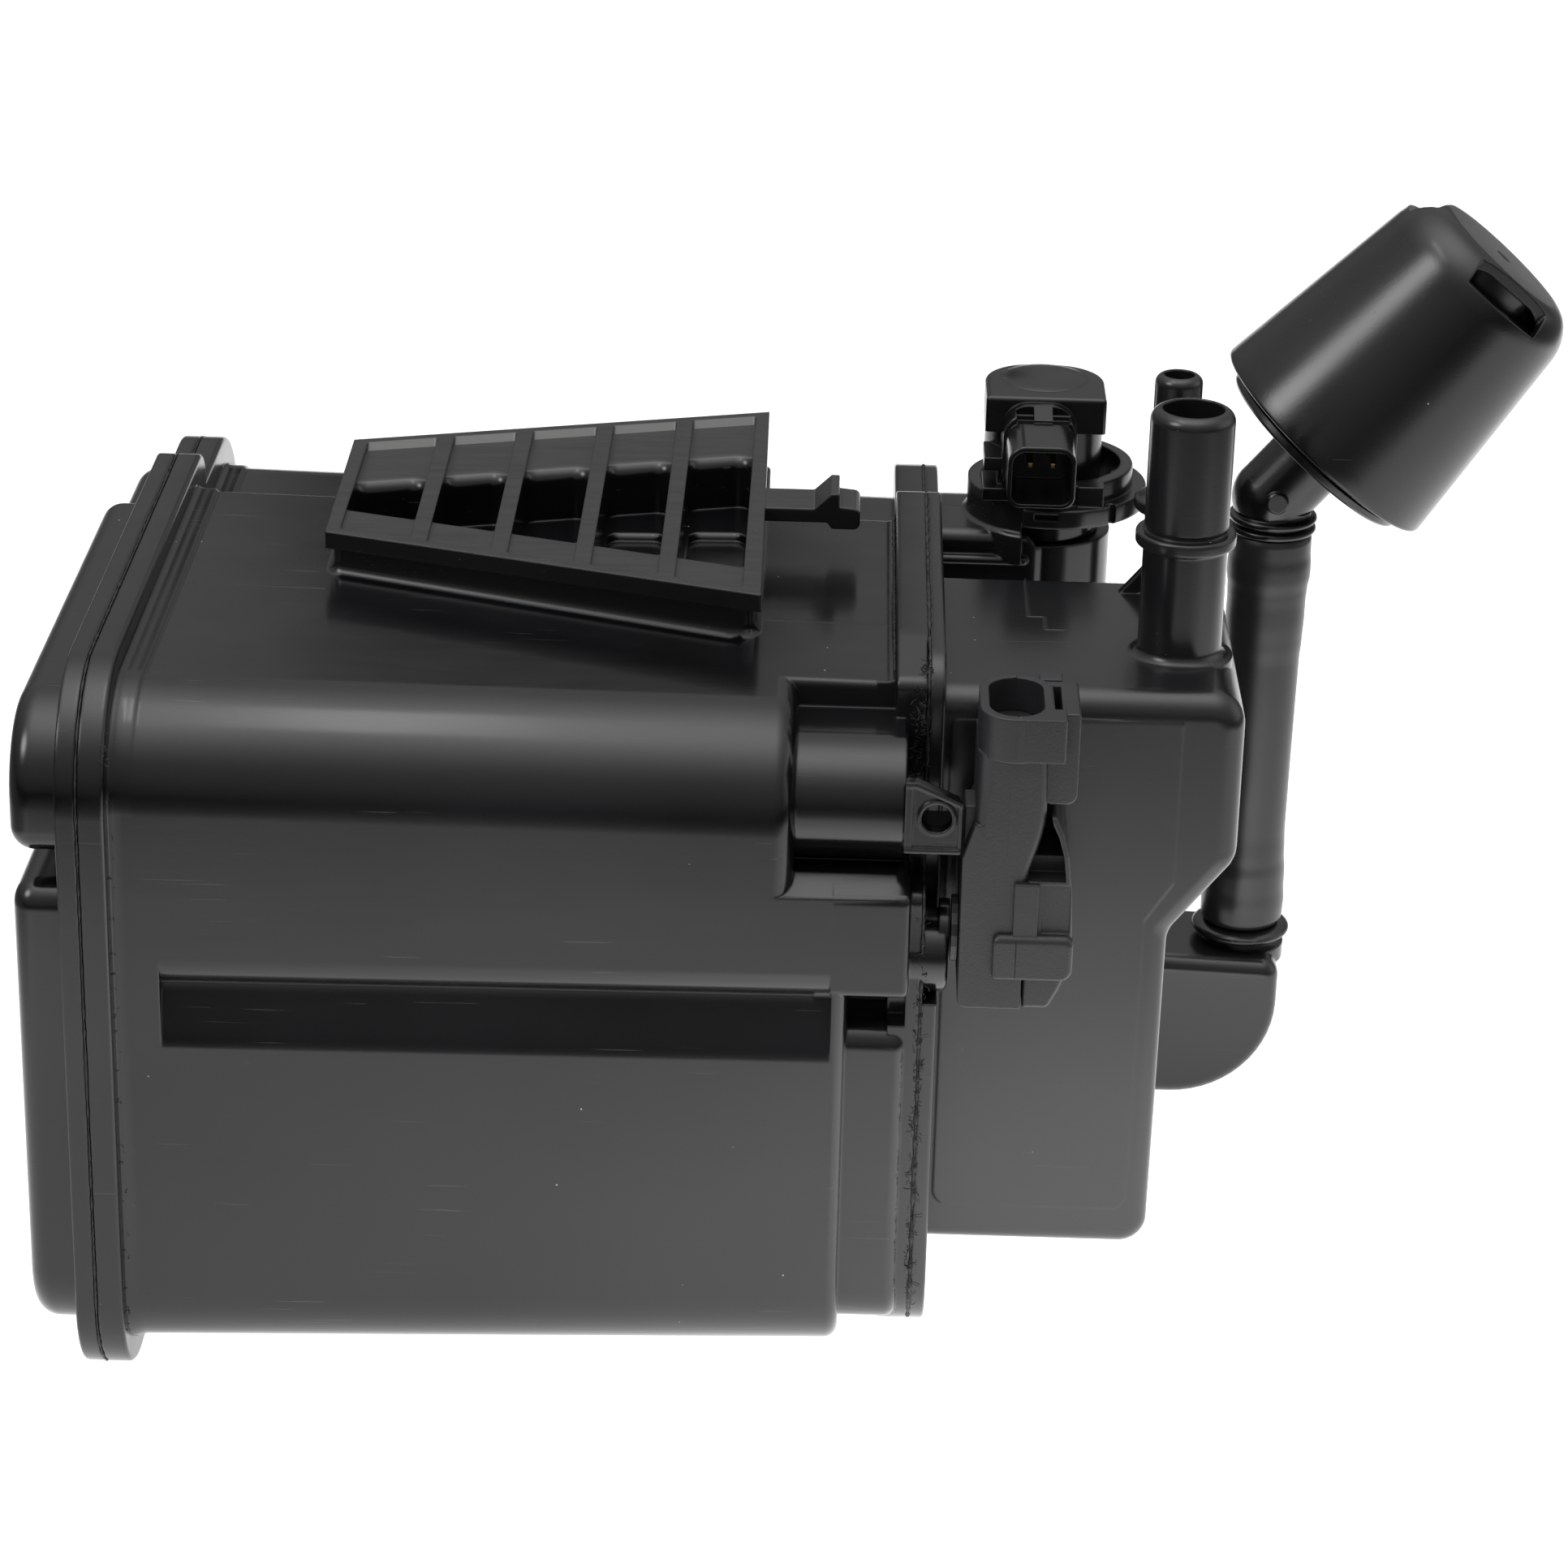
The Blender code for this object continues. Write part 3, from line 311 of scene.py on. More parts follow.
def solid(name, first, *steps):
    """first, then ("+", shapes) joined and ("-", shapes) cut, in that order."""
    obj = link(name, first)
    tools, groups = [], []
    for n, (sign, shapes) in enumerate(steps):
        group = bpy.data.collections.new("tools_%s_%d" % (name, n))
        groups.append(group)
        for k, bm in enumerate(shapes):
            t = link("tool_%s_%d_%d" % (name, n, k), bm)
            group.objects.link(t)
            tools.append(t)
        mod = obj.modifiers.new("step_%d" % n, "BOOLEAN")
        mod.operation = "UNION" if sign == "+" else "DIFFERENCE"
        mod.solver = "EXACT"
        mod.operand_type = "COLLECTION"
        mod.collection = group
    bpy.context.view_layer.update()
    done = bpy.data.meshes.new_from_object(obj.evaluated_get(bpy.context.evaluated_depsgraph_get()))
    obj.modifiers.clear()
    obj.data = done
    done.name = name
    for t in tools:
        bpy.data.objects.remove(t, do_unlink=True)
    for g in groups:
        bpy.data.collections.remove(g)
    bm = bmesh.new()
    bm.from_mesh(done)
    bmesh.ops.dissolve_degenerate(bm, dist=2e-6, edges=bm.edges[:])
    bm.to_mesh(done)
    bm.free()
    return obj


def smooth(obj, angle=32.0):
    obj.data.shade_smooth()
    obj.data.set_sharp_from_angle(angle=math.radians(angle))
    mod = obj.modifiers.new("normals", "WEIGHTED_NORMAL")
    mod.keep_sharp = True
    mod.weight = 60
    return obj


def finish_piece(obj, mat, slot, *nodes, angle=32.0, body="canister"):
    smooth(obj, angle)
    obj.data.materials.clear()
    obj.data.materials.append(mat)
    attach(obj, body)
    if nodes:
        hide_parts(*nodes)
    return obj


# ---- materials --------------------------------------------------------------------
class Graph:
    """Small helper for a node tree of one Principled material."""

    def __init__(self, name):
        self.mat = bpy.data.materials.new(name)
        self.mat.use_nodes = True
        self.tree = self.mat.node_tree
        self.shader = self.tree.nodes["Principled BSDF"]
        self.coord = self.tree.nodes.new("ShaderNodeTexCoord")

    def node(self, kind, **values):
        n = self.tree.nodes.new(kind)
        for key, value in values.items():
            setattr(n, key, value)
        return n

    def join(self, a, b):
        self.tree.links.new(a, b)

    def space(self, scale=(1, 1, 1), turn=(0, 0, 0), shift=(0, 0, 0)):
        m = self.node("ShaderNodeMapping")
        m.inputs["Scale"].default_value = scale
        m.inputs["Rotation"].default_value = [math.radians(a) for a in turn]
        m.inputs["Location"].default_value = shift
        self.join(self.coord.outputs["Object"], m.inputs["Vector"])
        return m.outputs["Vector"]

    def noise(self, vector, scale, detail=3.0, rough=0.55, distortion=0.0):
        n = self.node("ShaderNodeTexNoise")
        n.inputs["Scale"].default_value = scale
        n.inputs["Detail"].default_value = detail
        n.inputs["Roughness"].default_value = rough
        n.inputs["Distortion"].default_value = distortion
        self.join(vector, n.inputs["Vector"])
        return n.outputs["Fac"]

    def cells(self, vector, scale, feature="F1"):
        n = self.node("ShaderNodeTexVoronoi", feature=feature)
        n.inputs["Scale"].default_value = scale
        self.join(vector, n.inputs["Vector"])
        return n

    def ramp(self, value, *stops, interpolation="LINEAR"):
        n = self.node("ShaderNodeValToRGB")
        n.color_ramp.interpolation = interpolation
        ramp = n.color_ramp
        while len(ramp.elements) > 1:
            ramp.elements.remove(ramp.elements[-1])
        for k, (pos, c) in enumerate(stops):
            e = ramp.elements[0] if k == 0 else ramp.elements.new(pos)
            e.position = pos
            c = c if isinstance(c, (tuple, list)) else (c, c, c)
            e.color = (*c, 1.0)
        self.join(value, n.inputs["Fac"])
        return n.outputs["Color"]

    def math(self, op, a, b=None, clamp=False):
        n = self.node("ShaderNodeMath", operation=op, use_clamp=clamp)
        for k, v in enumerate((a, b)):
            if v is None:
                continue
            if isinstance(v, (int, float)):
                n.inputs[k].default_value = v
            else:
                self.join(v, n.inputs[k])
        return n.outputs[0]

    def range(self, value, lo, hi, to_lo, to_hi):
        n = self.node("ShaderNodeMapRange")
        n.inputs["From Min"].default_value = lo
        n.inputs["From Max"].default_value = hi
        n.inputs["To Min"].default_value = to_lo
        n.inputs["To Max"].default_value = to_hi
        self.join(value, n.inputs["Value"])
        return n.outputs["Result"]

    def mix(self, fac, a, b):
        n = self.node("ShaderNodeMix", data_type="RGBA")
        for key, v in ((0, fac), (6, a), (7, b)):
            if isinstance(v, (int, float)):
                n.inputs[key].default_value = v
            elif isinstance(v, (tuple, list)):
                n.inputs[key].default_value = (*v, 1.0)
            else:
                self.join(v, n.inputs[key])
        return n.outputs[2]

    def bump(self, height, strength, distance, normal=None):
        n = self.node("ShaderNodeBump")
        n.inputs["Strength"].default_value = strength
        n.inputs["Distance"].default_value = distance
        self.join(height, n.inputs["Height"])
        if normal is not None:
            self.join(normal, n.inputs["Normal"])
        return n.outputs["Normal"]

    def edges(self, radius, samples=6):
        n = self.node("ShaderNodeBevel", samples=samples)
        n.inputs["Radius"].default_value = radius
        return n.outputs["Normal"]

    def set(self, socket, value):
        s = self.shader.inputs[socket]
        if isinstance(value, (int, float)):
            s.default_value = value
        elif isinstance(value, (tuple, list)):
            s.default_value = (*value, 1.0)
        else:
            self.join(value, s)


def moulded(name, dark, light, rough, streak=(9, 60, 60), turn=(0, 0, 0), radius=0.0007, grain=0.0, dust=1.0, scratch=1.0, wave=1.0, matte_top_and_painted_highlight_above=None):
    """Injection-moulded plastic: flow streaks, handling scratches, dust specks."""
    g = Graph(name)
    blotch = g.noise(g.space(), 22.0, 2.0)
    flow = g.noise(g.space(streak, turn), 1.0, 4.0, 0.6, 0.6)
    fine = g.noise(g.space(), 1900.0, 2.0, 0.6)
    # hairline scratches in two directions
    lines = []
    for k, (t, s) in enumerate((((0, 12, 24), (34, 1500, 1500)), ((0, 38, -18), (26, 1900, 1900)), ((8, 64, 70), (40, 1700, 1700)))):
        n = g.noise(g.space(s, t, (k * 3.1, k, 0)), 1.0, 1.0, 0.4)
        patch = g.noise(g.space(shift=(k, 2.0 * k, 0)), 34.0, 1.0)
        thin = g.range(n, 0.745, 0.77, 0.0, 1.0)
        lines.append(g.math("MULTIPLY", thin, g.range(patch, 0.54, 0.66, 0.0, 1.0), True))
    marks = g.math("MAXIMUM", g.math("MAXIMUM", lines[0], lines[1]), lines[2])
    # dust: few tiny pale specks
    vor = g.cells(g.space(), 210.0)
    near = g.range(vor.outputs["Distance"], 0.045, 0.03, 0.0, 1.0)
    sep = g.node("ShaderNodeSeparateColor")
    g.join(vor.outputs["Color"], sep.inputs["Color"])
    keep = g.range(sep.outputs[0], 0.86, 0.87, 0.0, 1.0)
    speck = g.math("MULTIPLY", near, keep, True)
    base = g.mix(g.range(blotch, 0.35, 0.7, 0.0, 1.0), dark, light)
    base = g.mix(g.math("MULTIPLY", marks, 0.10 * scratch), base, (0.30, 0.29, 0.27))
    base = g.mix(g.math("MULTIPLY", speck, 0.55 * dust), base, (0.55, 0.53, 0.48))
    r = g.math("ADD", g.range(flow, 0.3, 0.75, rough - 0.03, rough + 0.06), g.math("MULTIPLY", marks, 0.10))
    r = g.math("ADD", r, g.math("MULTIPLY", speck, 0.3))
    # above this height: a painted highlight on the tray's slanting strips, and a lighter, rougher matte finish on its
    # flat tops
    if matte_top_and_painted_highlight_above is not None:
        part = g.node("ShaderNodeSeparateXYZ")
        g.join(g.coord.outputs["Object"], part.inputs[0])
        high = g.range(part.outputs[2], matte_top_and_painted_highlight_above - 0.0003, matte_top_and_painted_highlight_above + 0.0003, 0.0, 1.0)
        facing = g.node("ShaderNodeNewGeometry")
        lie = g.node("ShaderNodeSeparateXYZ")
        g.join(facing.outputs["Normal"], lie.inputs[0])
        # slanting strips round the tray's cells are painted pale: a painted highlight where they catch the overhead
        # light
        painted_strip_highlight = g.math("MULTIPLY", high, g.math("MULTIPLY", g.range(lie.outputs[2], 0.74, 0.80, 0.0, 1.0), g.range(lie.outputs[2], 0.93, 0.90, 0.0, 1.0)))
        base = g.mix(painted_strip_highlight, base, (0.075, 0.075, 0.072))
        high = g.math("MULTIPLY", high, g.range(lie.outputs[2], 0.90, 0.97, 0.0, 1.0))
        smear = g.noise(g.space((60, 400, 60)), 1.0, 4.0, 0.6)
        base = g.mix(g.math("MULTIPLY", high, g.range(smear, 0.3, 0.7, 0.6, 1.0)), base, (0.0215, 0.0215, 0.0212))
        r = g.math("ADD", r, g.math("MULTIPLY", high, g.range(smear, 0.3, 0.7, 0.16, 0.30)))
    g.set("Base Color", base)
    g.set("Roughness", r)
    g.set("IOR", 1.5)
    normal = g.edges(radius)
    normal = g.bump(flow, 0.30 * wave, 0.00012, normal)
    normal = g.bump(blotch, 0.35 * wave, 0.0004, normal)
    if grain:
        normal = g.bump(fine, grain, 0.00006, normal)
    g.set("Normal", normal)
    return g.mat


black = moulded("black_polyamide", (0.0028, 0.0029, 0.0032), (0.0050, 0.0053, 0.0060), 0.165, grain=0.08, matte_top_and_painted_highlight_above=0.1471)
black_side = moulded("black_polyamide_cover", (0.0065, 0.0067, 0.0072), (0.0095, 0.0100, 0.0108), 0.20, streak=(24, 24, 8), grain=0.12)
black_plain = moulded("black_polyamide_fine", (0.0028, 0.0029, 0.0031), (0.0045, 0.0047, 0.0051), 0.19, streak=(40, 40, 40), radius=0.0004, grain=0.08, dust=0.5)
black_drum = moulded("black_polyamide_drum", (0.0032, 0.0033, 0.0036), (0.0055, 0.0057, 0.0061), 0.20, streak=(30, 30, 30), radius=0.0006, grain=0.22, scratch=0.6)
grey = moulded("grey_polyester", (0.0115, 0.0120, 0.0130), (0.0160, 0.0168, 0.0182), 0.42, streak=(50, 50, 50), radius=0.0004, grain=0.6, dust=0.5, scratch=0.5)


def rubber_material():
    g = Graph("hose_rubber")
    fine = g.noise(g.space(), 900.0, 3.0)
    soft = g.noise(g.space((60, 60, 18)), 1.0, 3.0)
    bloom = g.noise(g.space(), 45.0, 3.0)
    g.set("Base Color", g.mix(g.range(bloom, 0.4, 0.7, 0.0, 1.0), (0.0075, 0.0078, 0.0080), (0.013, 0.0132, 0.0134)))
    g.set("Roughness", g.range(soft, 0.3, 0.7, 0.27, 0.40))
    normal = g.bump(soft, 0.35, 0.0003)
    g.set("Normal", g.bump(fine, 0.12, 0.00008, normal))
    return g.mat


def brass_material():
    g = Graph("terminal_brass")
    g.set("Metallic", 1.0)
    rub = g.noise(g.space((300, 300, 1500)), 1.0, 3.0)
    g.set("Base Color", g.mix(rub, (0.55, 0.38, 0.14), (0.80, 0.60, 0.26)))
    g.set("Roughness", g.range(rub, 0.3, 0.7, 0.22, 0.42))
    g.set("Normal", g.bump(rub, 0.2, 0.00004, g.edges(0.0001, 4)))
    return g.mat


def steel_material(name, tint, rough):
    g = Graph(name)
    g.set("Metallic", 1.0)
    drawn = g.noise(g.space((900, 900, 90)), 1.0, 3.0)
    g.set("Base Color", g.mix(drawn, [c * 0.8 for c in tint], tint))
    g.set("Roughness", g.range(drawn, 0.3, 0.7, rough - 0.08, rough + 0.1))
    g.set("Normal", g.bump(drawn, 0.15, 0.00003))
    return g.mat


def carbon_material():
    g = Graph("carbon_pellets")
    vor = g.cells(g.space((1, 1.6, 1.6)), 420.0)
    g.set("Base Color", g.mix(vor.outputs["Distance"], (0.03, 0.03, 0.032), (0.006, 0.006, 0.006)))
    g.set("Roughness", g.range(g.noise(g.space(), 700.0), 0.3, 0.7, 0.7, 0.95))
    g.set("Normal", g.bump(vor.outputs["Distance"], 0.9, 0.0008))
    return g.mat


def fleece_material():
    g = Graph("filter_fleece")
    a = g.noise(g.space((900, 160, 900)), 1.0, 4.0, 0.7, 1.5)
    b = g.noise(g.space((160, 900, 900)), 1.0, 4.0, 0.7, 1.5)
    fibre = g.math("MAXIMUM", a, b)
    g.set("Base Color", g.mix(fibre, (0.34, 0.34, 0.31), (0.72, 0.71, 0.66)))
    g.set("Roughness", g.range(fibre, 0.3, 0.8, 0.85, 1.0))
    g.set("Normal", g.bump(fibre, 0.7, 0.0003))
    return g.mat


def foam_material():
    g = Graph("filter_foam_open_cell")
    vor = g.cells(g.space(), 900.0)
    g.set("Base Color", g.mix(vor.outputs["Distance"], (0.015, 0.015, 0.016), (0.13, 0.13, 0.13)))
    g.set("Roughness", g.range(vor.outputs["Distance"], 0.0, 0.7, 0.98, 0.8))
    g.set("Normal", g.bump(vor.outputs["Distance"], 1.0, 0.0006))
    return g.mat


def copper_material():
    g = Graph("copper_winding")
    wave = g.node("ShaderNodeTexWave", wave_type="BANDS", bands_direction="Z")
    wave.inputs["Scale"].default_value = 900.0
    wave.inputs["Distortion"].default_value = 0.4
    g.join(g.space(), wave.inputs["Vector"])
    g.set("Metallic", 1.0)
    g.set("Base Color", g.mix(wave.outputs["Fac"], (0.20, 0.06, 0.02), (0.66, 0.27, 0.11)))
    g.set("Roughness", g.range(wave.outputs["Fac"], 0.0, 1.0, 0.42, 0.26))
    g.set("Normal", g.bump(wave.outputs["Fac"], 0.8, 0.0002))
    return g.mat


def board_material():
    g = Graph("circuit_board")
    brick = g.noise(g.space((400, 400, 400)), 1.0, 1.0, 0.3)
    g.set("Base Color", g.mix(g.range(brick, 0.52, 0.56, 0.0, 1.0), (0.01, 0.07, 0.03), (0.03, 0.16, 0.07)))
    g.set("Roughness", g.range(brick, 0.4, 0.6, 0.35, 0.5))
    g.set("Normal", g.bump(brick, 0.3, 0.00006))
    return g.mat


rubber = rubber_material()
brass = brass_material()
spring_steel = steel_material("spring_steel", (0.52, 0.52, 0.54), 0.3)
core_steel = steel_material("core_steel", (0.46, 0.46, 0.48), 0.36)
carbon = carbon_material()
fleece = fleece_material()
foam = foam_material()
copper = copper_material()
board = board_material()
natural = moulded("natural_plastic", (0.42, 0.40, 0.33), (0.55, 0.52, 0.44), 0.5, streak=(40, 40, 40), radius=0.0003, grain=0.4, dust=0.0, scratch=0.2)

for name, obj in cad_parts.items():
    mat = black_plain
    for word, m in (("carbon_bed", carbon), ("pad_", fleece), ("filter_foam", foam), ("bed_spring", spring_steel), ("return_spring", spring_steel),
                    ("pressure_plate", natural), ("retainer", natural), ("bobbin", natural), ("seat_plate", natural), ("element", natural),
                    ("valve_frame", core_steel), ("valve_core", core_steel), ("plunger", core_steel), ("winding", copper), ("sensor_board", board),
                    ("terminal", brass), ("gasket", rubber), ("seal", rubber), ("hose", rubber), ("pressure_sensor_housing", grey), ("pressure_sensor_cover", grey)):
        if word in name:
            mat = m
            break
    obj.data.materials.clear()
    obj.data.materials.append(mat)

# the valve's return spring: its own copy of the model's coil, in spring steel
coil_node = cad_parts["vent_valve_return_spring"]
wire = bpy.data.objects.new("return_spring_wire", coil_node.data.copy())
bpy.context.scene.collection.objects.link(wire)
wire.matrix_world = coil_node.matrix_world.copy()
wire.data.materials.clear()
wire.data.materials.append(spring_steel)
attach(wire, "canister")
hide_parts("vent_valve_return_spring")
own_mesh(wire)


# ---- canister body ------------------------------------------------------------------
def front_corners(k, d=0.0):
    y0, y1 = FRONT_Y[k] + d, FRONT_BACK[k] - d
    z0, z1 = FRONT_Z0[k] + d, FRONT_Z1[k] - d
    return [(y0, z0, 15 - d), (y0, z1, 20 - d), (y1, z1, max(2.0 - d, 0.3)), (y1, z0, 10 - d)]


def rear_corners(k, d=0.0):
    y0, y1 = REAR_Y0[k] + d, REAR_Y1[k] - d
    z0, z1 = FRONT_Z0[k] + d, REAR_Z1[k] - d
    return [(y0, z0, 6 - d), (y0, z1, 6 - d), (y1, z1, 19 - d), (y1, z0, 15 - d)]


def at_station(shape, x):
    t = (x - FLANGE_L) / (FLANGE_R0 - FLANGE_L)
    a, b = shape(0), shape(1)
    return [(p[0] + (q[0] - p[0]) * t, p[1] + (q[1] - p[1]) * t, p[2] + (q[2] - p[2]) * t)
            for p, q in zip(a, b)]


def chamber(shape, rows, seg=SEG):
    """Drafted chamber through stations of (x, how far it stands proud[, the same for the front])."""
    rings = []
    for x, g, *front in rows:
        f = front[0] if front else g
        y0z0, y0z1, y1z1, y1z0 = at_station(shape, x)
        pts = [(y0z0[0] - f, y0z0[1] - f, y0z0[2] + f), (y0z1[0] - f, y0z1[1] + g, y0z1[2] + (f + g) / 2),
               (y1z1[0] + g, y1z1[1] + g, y1z1[2] + g), (y1z0[0] + g, y1z0[1] - f, y1z0[2] + (f + g) / 2)]
        rings.append(ring(rounded([(u, v, max(r, 0.05)) for u, v, r in pts], seg), "x", x))
    return loft(rings)


def hollow(shape, stations, seg=6):
    return loft([ring(rounded(at_station(shape, x), seg), "x", x) for x in stations])


def low_space(k, d=0.0):
    w = WALL + d
    y0, y1, z0 = FRONT_Y[k] + w, FRONT_BACK[k] - w, FRONT_Z0[k] + w
    return [(y0 + 0.6, z0, 12 - d), (y0 + 0.6, BED_SPLIT - WALL / 2 - d, 3), (y1, BED_SPLIT - WALL / 2 - d, 3), (y1, z0, 8 - d)]


def up_space(k, d=0.0):
    w = WALL + d
    y0, y1, z1 = FRONT_Y[k] + w, FRONT_BACK[k] - w, FRONT_Z1[k] - w
    low = 131.0 - d
    return [(y0, BED_SPLIT + WALL / 2 + d, 3), (y0, z1, 17 - d), (48.0 - d, z1, 0), (48.0 - d, low, 0), (y1, low, 3), (y1, BED_SPLIT + WALL / 2 + d, 3)]


def rear_space(k, d=0.0):
    w = WALL + d
    y0, y1, z0, z1 = REAR_Y0[k] + w, REAR_Y1[k] - w, FRONT_Z0[k] + w, REAR_Z1[k] - w
    return [(y0, z0, 4), (y0, z1, 4), (y1, z1, 16 - d), (y1, z0, 12 - d)]


FRONT_SLOPE = (TRAY[1][1] - TRAY[0][1]) / (TRAY[1][0] - TRAY[0][0])
REAR_SLOPE = (TRAY[2][1] - TRAY[3][1]) / (TRAY[2][0] - TRAY[3][0])


def front_edge(x, d):
    return TRAY[0][1] + FRONT_SLOPE * (x - TRAY[0][0]) + d


def rear_edge(x, d):
    return TRAY[3][1] + REAR_SLOPE * (x - TRAY[3][0]) - d


def as_bmesh(obj):
    """Take a finished helper object back as a shape in the drawing's millimetres."""
    bm = bmesh.new()
    bm.from_mesh(obj.data)
    bmesh.ops.scale(bm, vec=(1 / MM, 1 / MM, 1 / MM), verts=bm.verts[:])
    bmesh.ops.translate(bm, vec=ORIGIN, verts=bm.verts[:])
    bpy.data.objects.remove(obj, do_unlink=True)
    return bm


# thick root beside each flange, then a small step down to the drafted wall
ROOT = [(3.0, 1.0, 0.9), (5.6, 0.95, 0.7), (6.0, 0.7, 0.45), (6.5, 0.64, 0.3), (7.2, 0.6, 0.08), (7.6, 0.6, 0.0), (8.7, 0.58, 0.0), (9.2, 0.45, 0.0), (9.5, 0.12, 0.0), (9.8, 0.0, 0.0), (148.6, 0.0, 0.0)]
END_R = 2.6


def low_box_end():
    """The lower box's right end, with its edge rounded all the way round."""
    rows = [(130.0, 0.02)]
    for k in range(7):
        t = math.pi / 2 * k / 6
        rows.append((140.2 - END_R + END_R * math.sin(t), 0.02 - END_R * (1 - math.cos(t))))
    return chamber(front_corners, rows)


end_tool = solid("end_tool", box(133.0, -8.0, -8.0, 153.0, 21.0, 84.0),
                 ("+", [box(133.0, -7.0, -7.0, 152.9, 126.0, 9.4)]),
                 ("-", [low_box_end()]))


def root_fillet():
    """Small radius between the shell's flat top and the right flange."""
    bead_ = solid("root_tool", chamber(front_corners, [(144.0, -0.1), (145.8, 0.0), (146.6, 0.12), (147.1, 0.36), (147.4, 0.75), (147.6, 1.3), (149.0, 1.3)]),
                  ("-", [box(140.0, -5.0, -5.0, 152.0, 36.0, 150.0), box(140.0, 30.0, -5.0, 152.0, 130.0, 118.0)]))
    return as_bmesh(bead_)


GROOVE = [(-3.0, 88.2), (-0.02, 88.2), (0.03, 87.4), (0.16, 86.5), (0.42, 85.5), (0.82, 84.6), (1.32, 83.8), (1.9, 83.25), (2.4, 82.95), (2.74, 82.75), (2.93, 82.45),
          (3.0, 82.05), (2.96, 81.6), (2.8, 80.9), (2.0, 77.9), (1.25, 75.1), (0.78, 73.3), (0.42, 71.9), (0.16, 70.7), (0.03, 69.8), (-0.02, 69.2), (-3.0, 69.2)]


def groove_shape():
    """Cut over the lower box: a lip that rolls under, a fillet, and the box's sloping shoulder below."""
    rings = []
    for x in (13.3, 137.2):
        front = FRONT_Y[0] + (FRONT_Y[1] - FRONT_Y[0]) * (x - FLANGE_L) / (FLANGE_R0 - FLANGE_L)
        rings.append([(x, front + o, z) for o, z in GROOVE])
    return loft(rings)


def pocket_shape():
    """Corner pocket round the half cylinder: its left wall and its ledge roll over into the shell."""
    rings = []
    for x, top in ((121.0, 134.9), (FLANGE_R0 + 2, 134.42)):
        pts = [(0.0, 103.1), (7.2, 103.1), (7.6, 103.3), (12.0, 106.2), (36.0, 106.2), (36.0, top - 1.5)]
        pts += [(37.5 - 1.5 * math.cos(math.radians(a)), top - 1.5 + 1.5 * math.sin(math.radians(a))) for a in (15, 30, 45, 60, 75, 90)]
        pts += [(37.5, 141.0), (0.0, 141.0)]
        rings.append(ring(pts, "x", x))
    rows = [(118.0, 0.02)]
    for k in range(9):
        t = math.pi / 2 * k / 8
        rows.append((129.6 - 4.2 + 4.2 * math.sin(t), 0.02 - 4.2 * (1 - math.cos(t))))
    return as_bmesh(solid("pocket_tool", loft(rings), ("-", [chamber(front_corners, rows)])))


foot = [(37.8, front_edge(37.8, 3.0), 2.5), (120.6, front_edge(120.6, 3.0), 4.0), (119.8, rear_edge(119.8, 1.2), 3.0), (37.6, rear_edge(37.6, 1.2), 3.0)]


def tray_foot():
    """Pedestal of the tray, with a small fillet where it grows out of the chamber's top."""
    rings = []
    for z, g, lean in ((124.5, 1.7, 0), (135.9, 1.7, 1), (136.15, 1.25, 1), (136.5, 0.8, 1), (136.9, 0.45, 1), (137.4, 0.2, 1), (138.0, 0.05, 1), (138.7, 0.0, 1), (142.6, 0.0, 0)):
        pts = rounded(inset(foot, -g), 8)
        rings.append([(x, y, z - lean * 2.1 / 142.5 * (x - 30.0)) for x, y in pts])
    return loft(rings)


CELL_X = [(39.4, 53.4), (56.7, 69.3), (72.6, 85.6), (88.9, 101.9), (105.2, 118.2)]


def cell_shapes():
    """Deep part of every cell between a front and a rear ledge, whose edge into the cell is rounded."""
    out = []
    floor_z, r = 133.4, 2.8
    for i, (xa, xb) in enumerate(CELL_X):
        def outline(extra):
            return [(xa, front_edge(xa, 15.1), 0.7), (xb, front_edge(xb, 15.1), 0.7),
                    (xb, rear_edge(xb, 24.0 - extra), 3.0), (xa, rear_edge(xa, 24.0 - extra), 3.0)]
        rings = [ring(rounded(outline(r), 8), "z", 147.0)]
        for k in range(8):
            t = math.pi / 2 * k / 7
            rings.append(ring(rounded(outline(r * (1 - math.sin(t))), 8), "z", 144.2 - r * (1 - math.cos(t))))
        rings.append(ring(rounded(outline(0.0), 8), "z", floor_z))
        out.append(loft(rings))
        # rear ledge with a steep strip up to the rim, and the shallower front ledge
        rear = [[(xa, rear_edge(xa, 27.0), 0.3), (xb, rear_edge(xb, 27.0), 0.3), (xb, rear_edge(xb, d), 0.5), (xa, rear_edge(xa, d), 0.5)] for d in (4.0, 2.2, 2.0)]
        out.append(loft([ring(rounded(q, 4), "z", z) for q, z in zip(rear, (144.2, 145.55, 147.0))]))
        front = [[(xa, front_edge(xa, d), 0.5), (xb, front_edge(xb, d), 0.5), (xb, front_edge(xb, 17.0), 0.3), (xa, front_edge(xa, 17.0), 0.3)] for d in (3.3, 2.7, 2.6)]
        out.append(loft([ring(rounded(q, 4), "z", z) for q, z in zip(front, (144.75, 145.55, 147.0))]))
        if i >= 3:
            # the floor steps down in front of the passage below
            y_step = 114.2 if i == 3 else 115.8
            c0 = [(xa + 0.8, front_edge(xa, 15.6), 1.2), (xb - 0.8, front_edge(xb, 15.6), 1.2), (xb - 0.8, y_step, 2.4), (xa + 0.8, y_step - 0.5, 2.4)]
            rows = [ring(rounded(shrink(c0, [0, 0, -g, 0]), 6), "z", z) for z, g in
                    ((floor_z + 0.8, 1.2), (floor_z + 0.02, 1.1), (floor_z - 0.2, 0.7), (floor_z - 0.6, 0.2), (floor_z - 1.1, 0.0), (floor_z - 1.5, 0.0))]
            out.append(loft(rows))
    return out


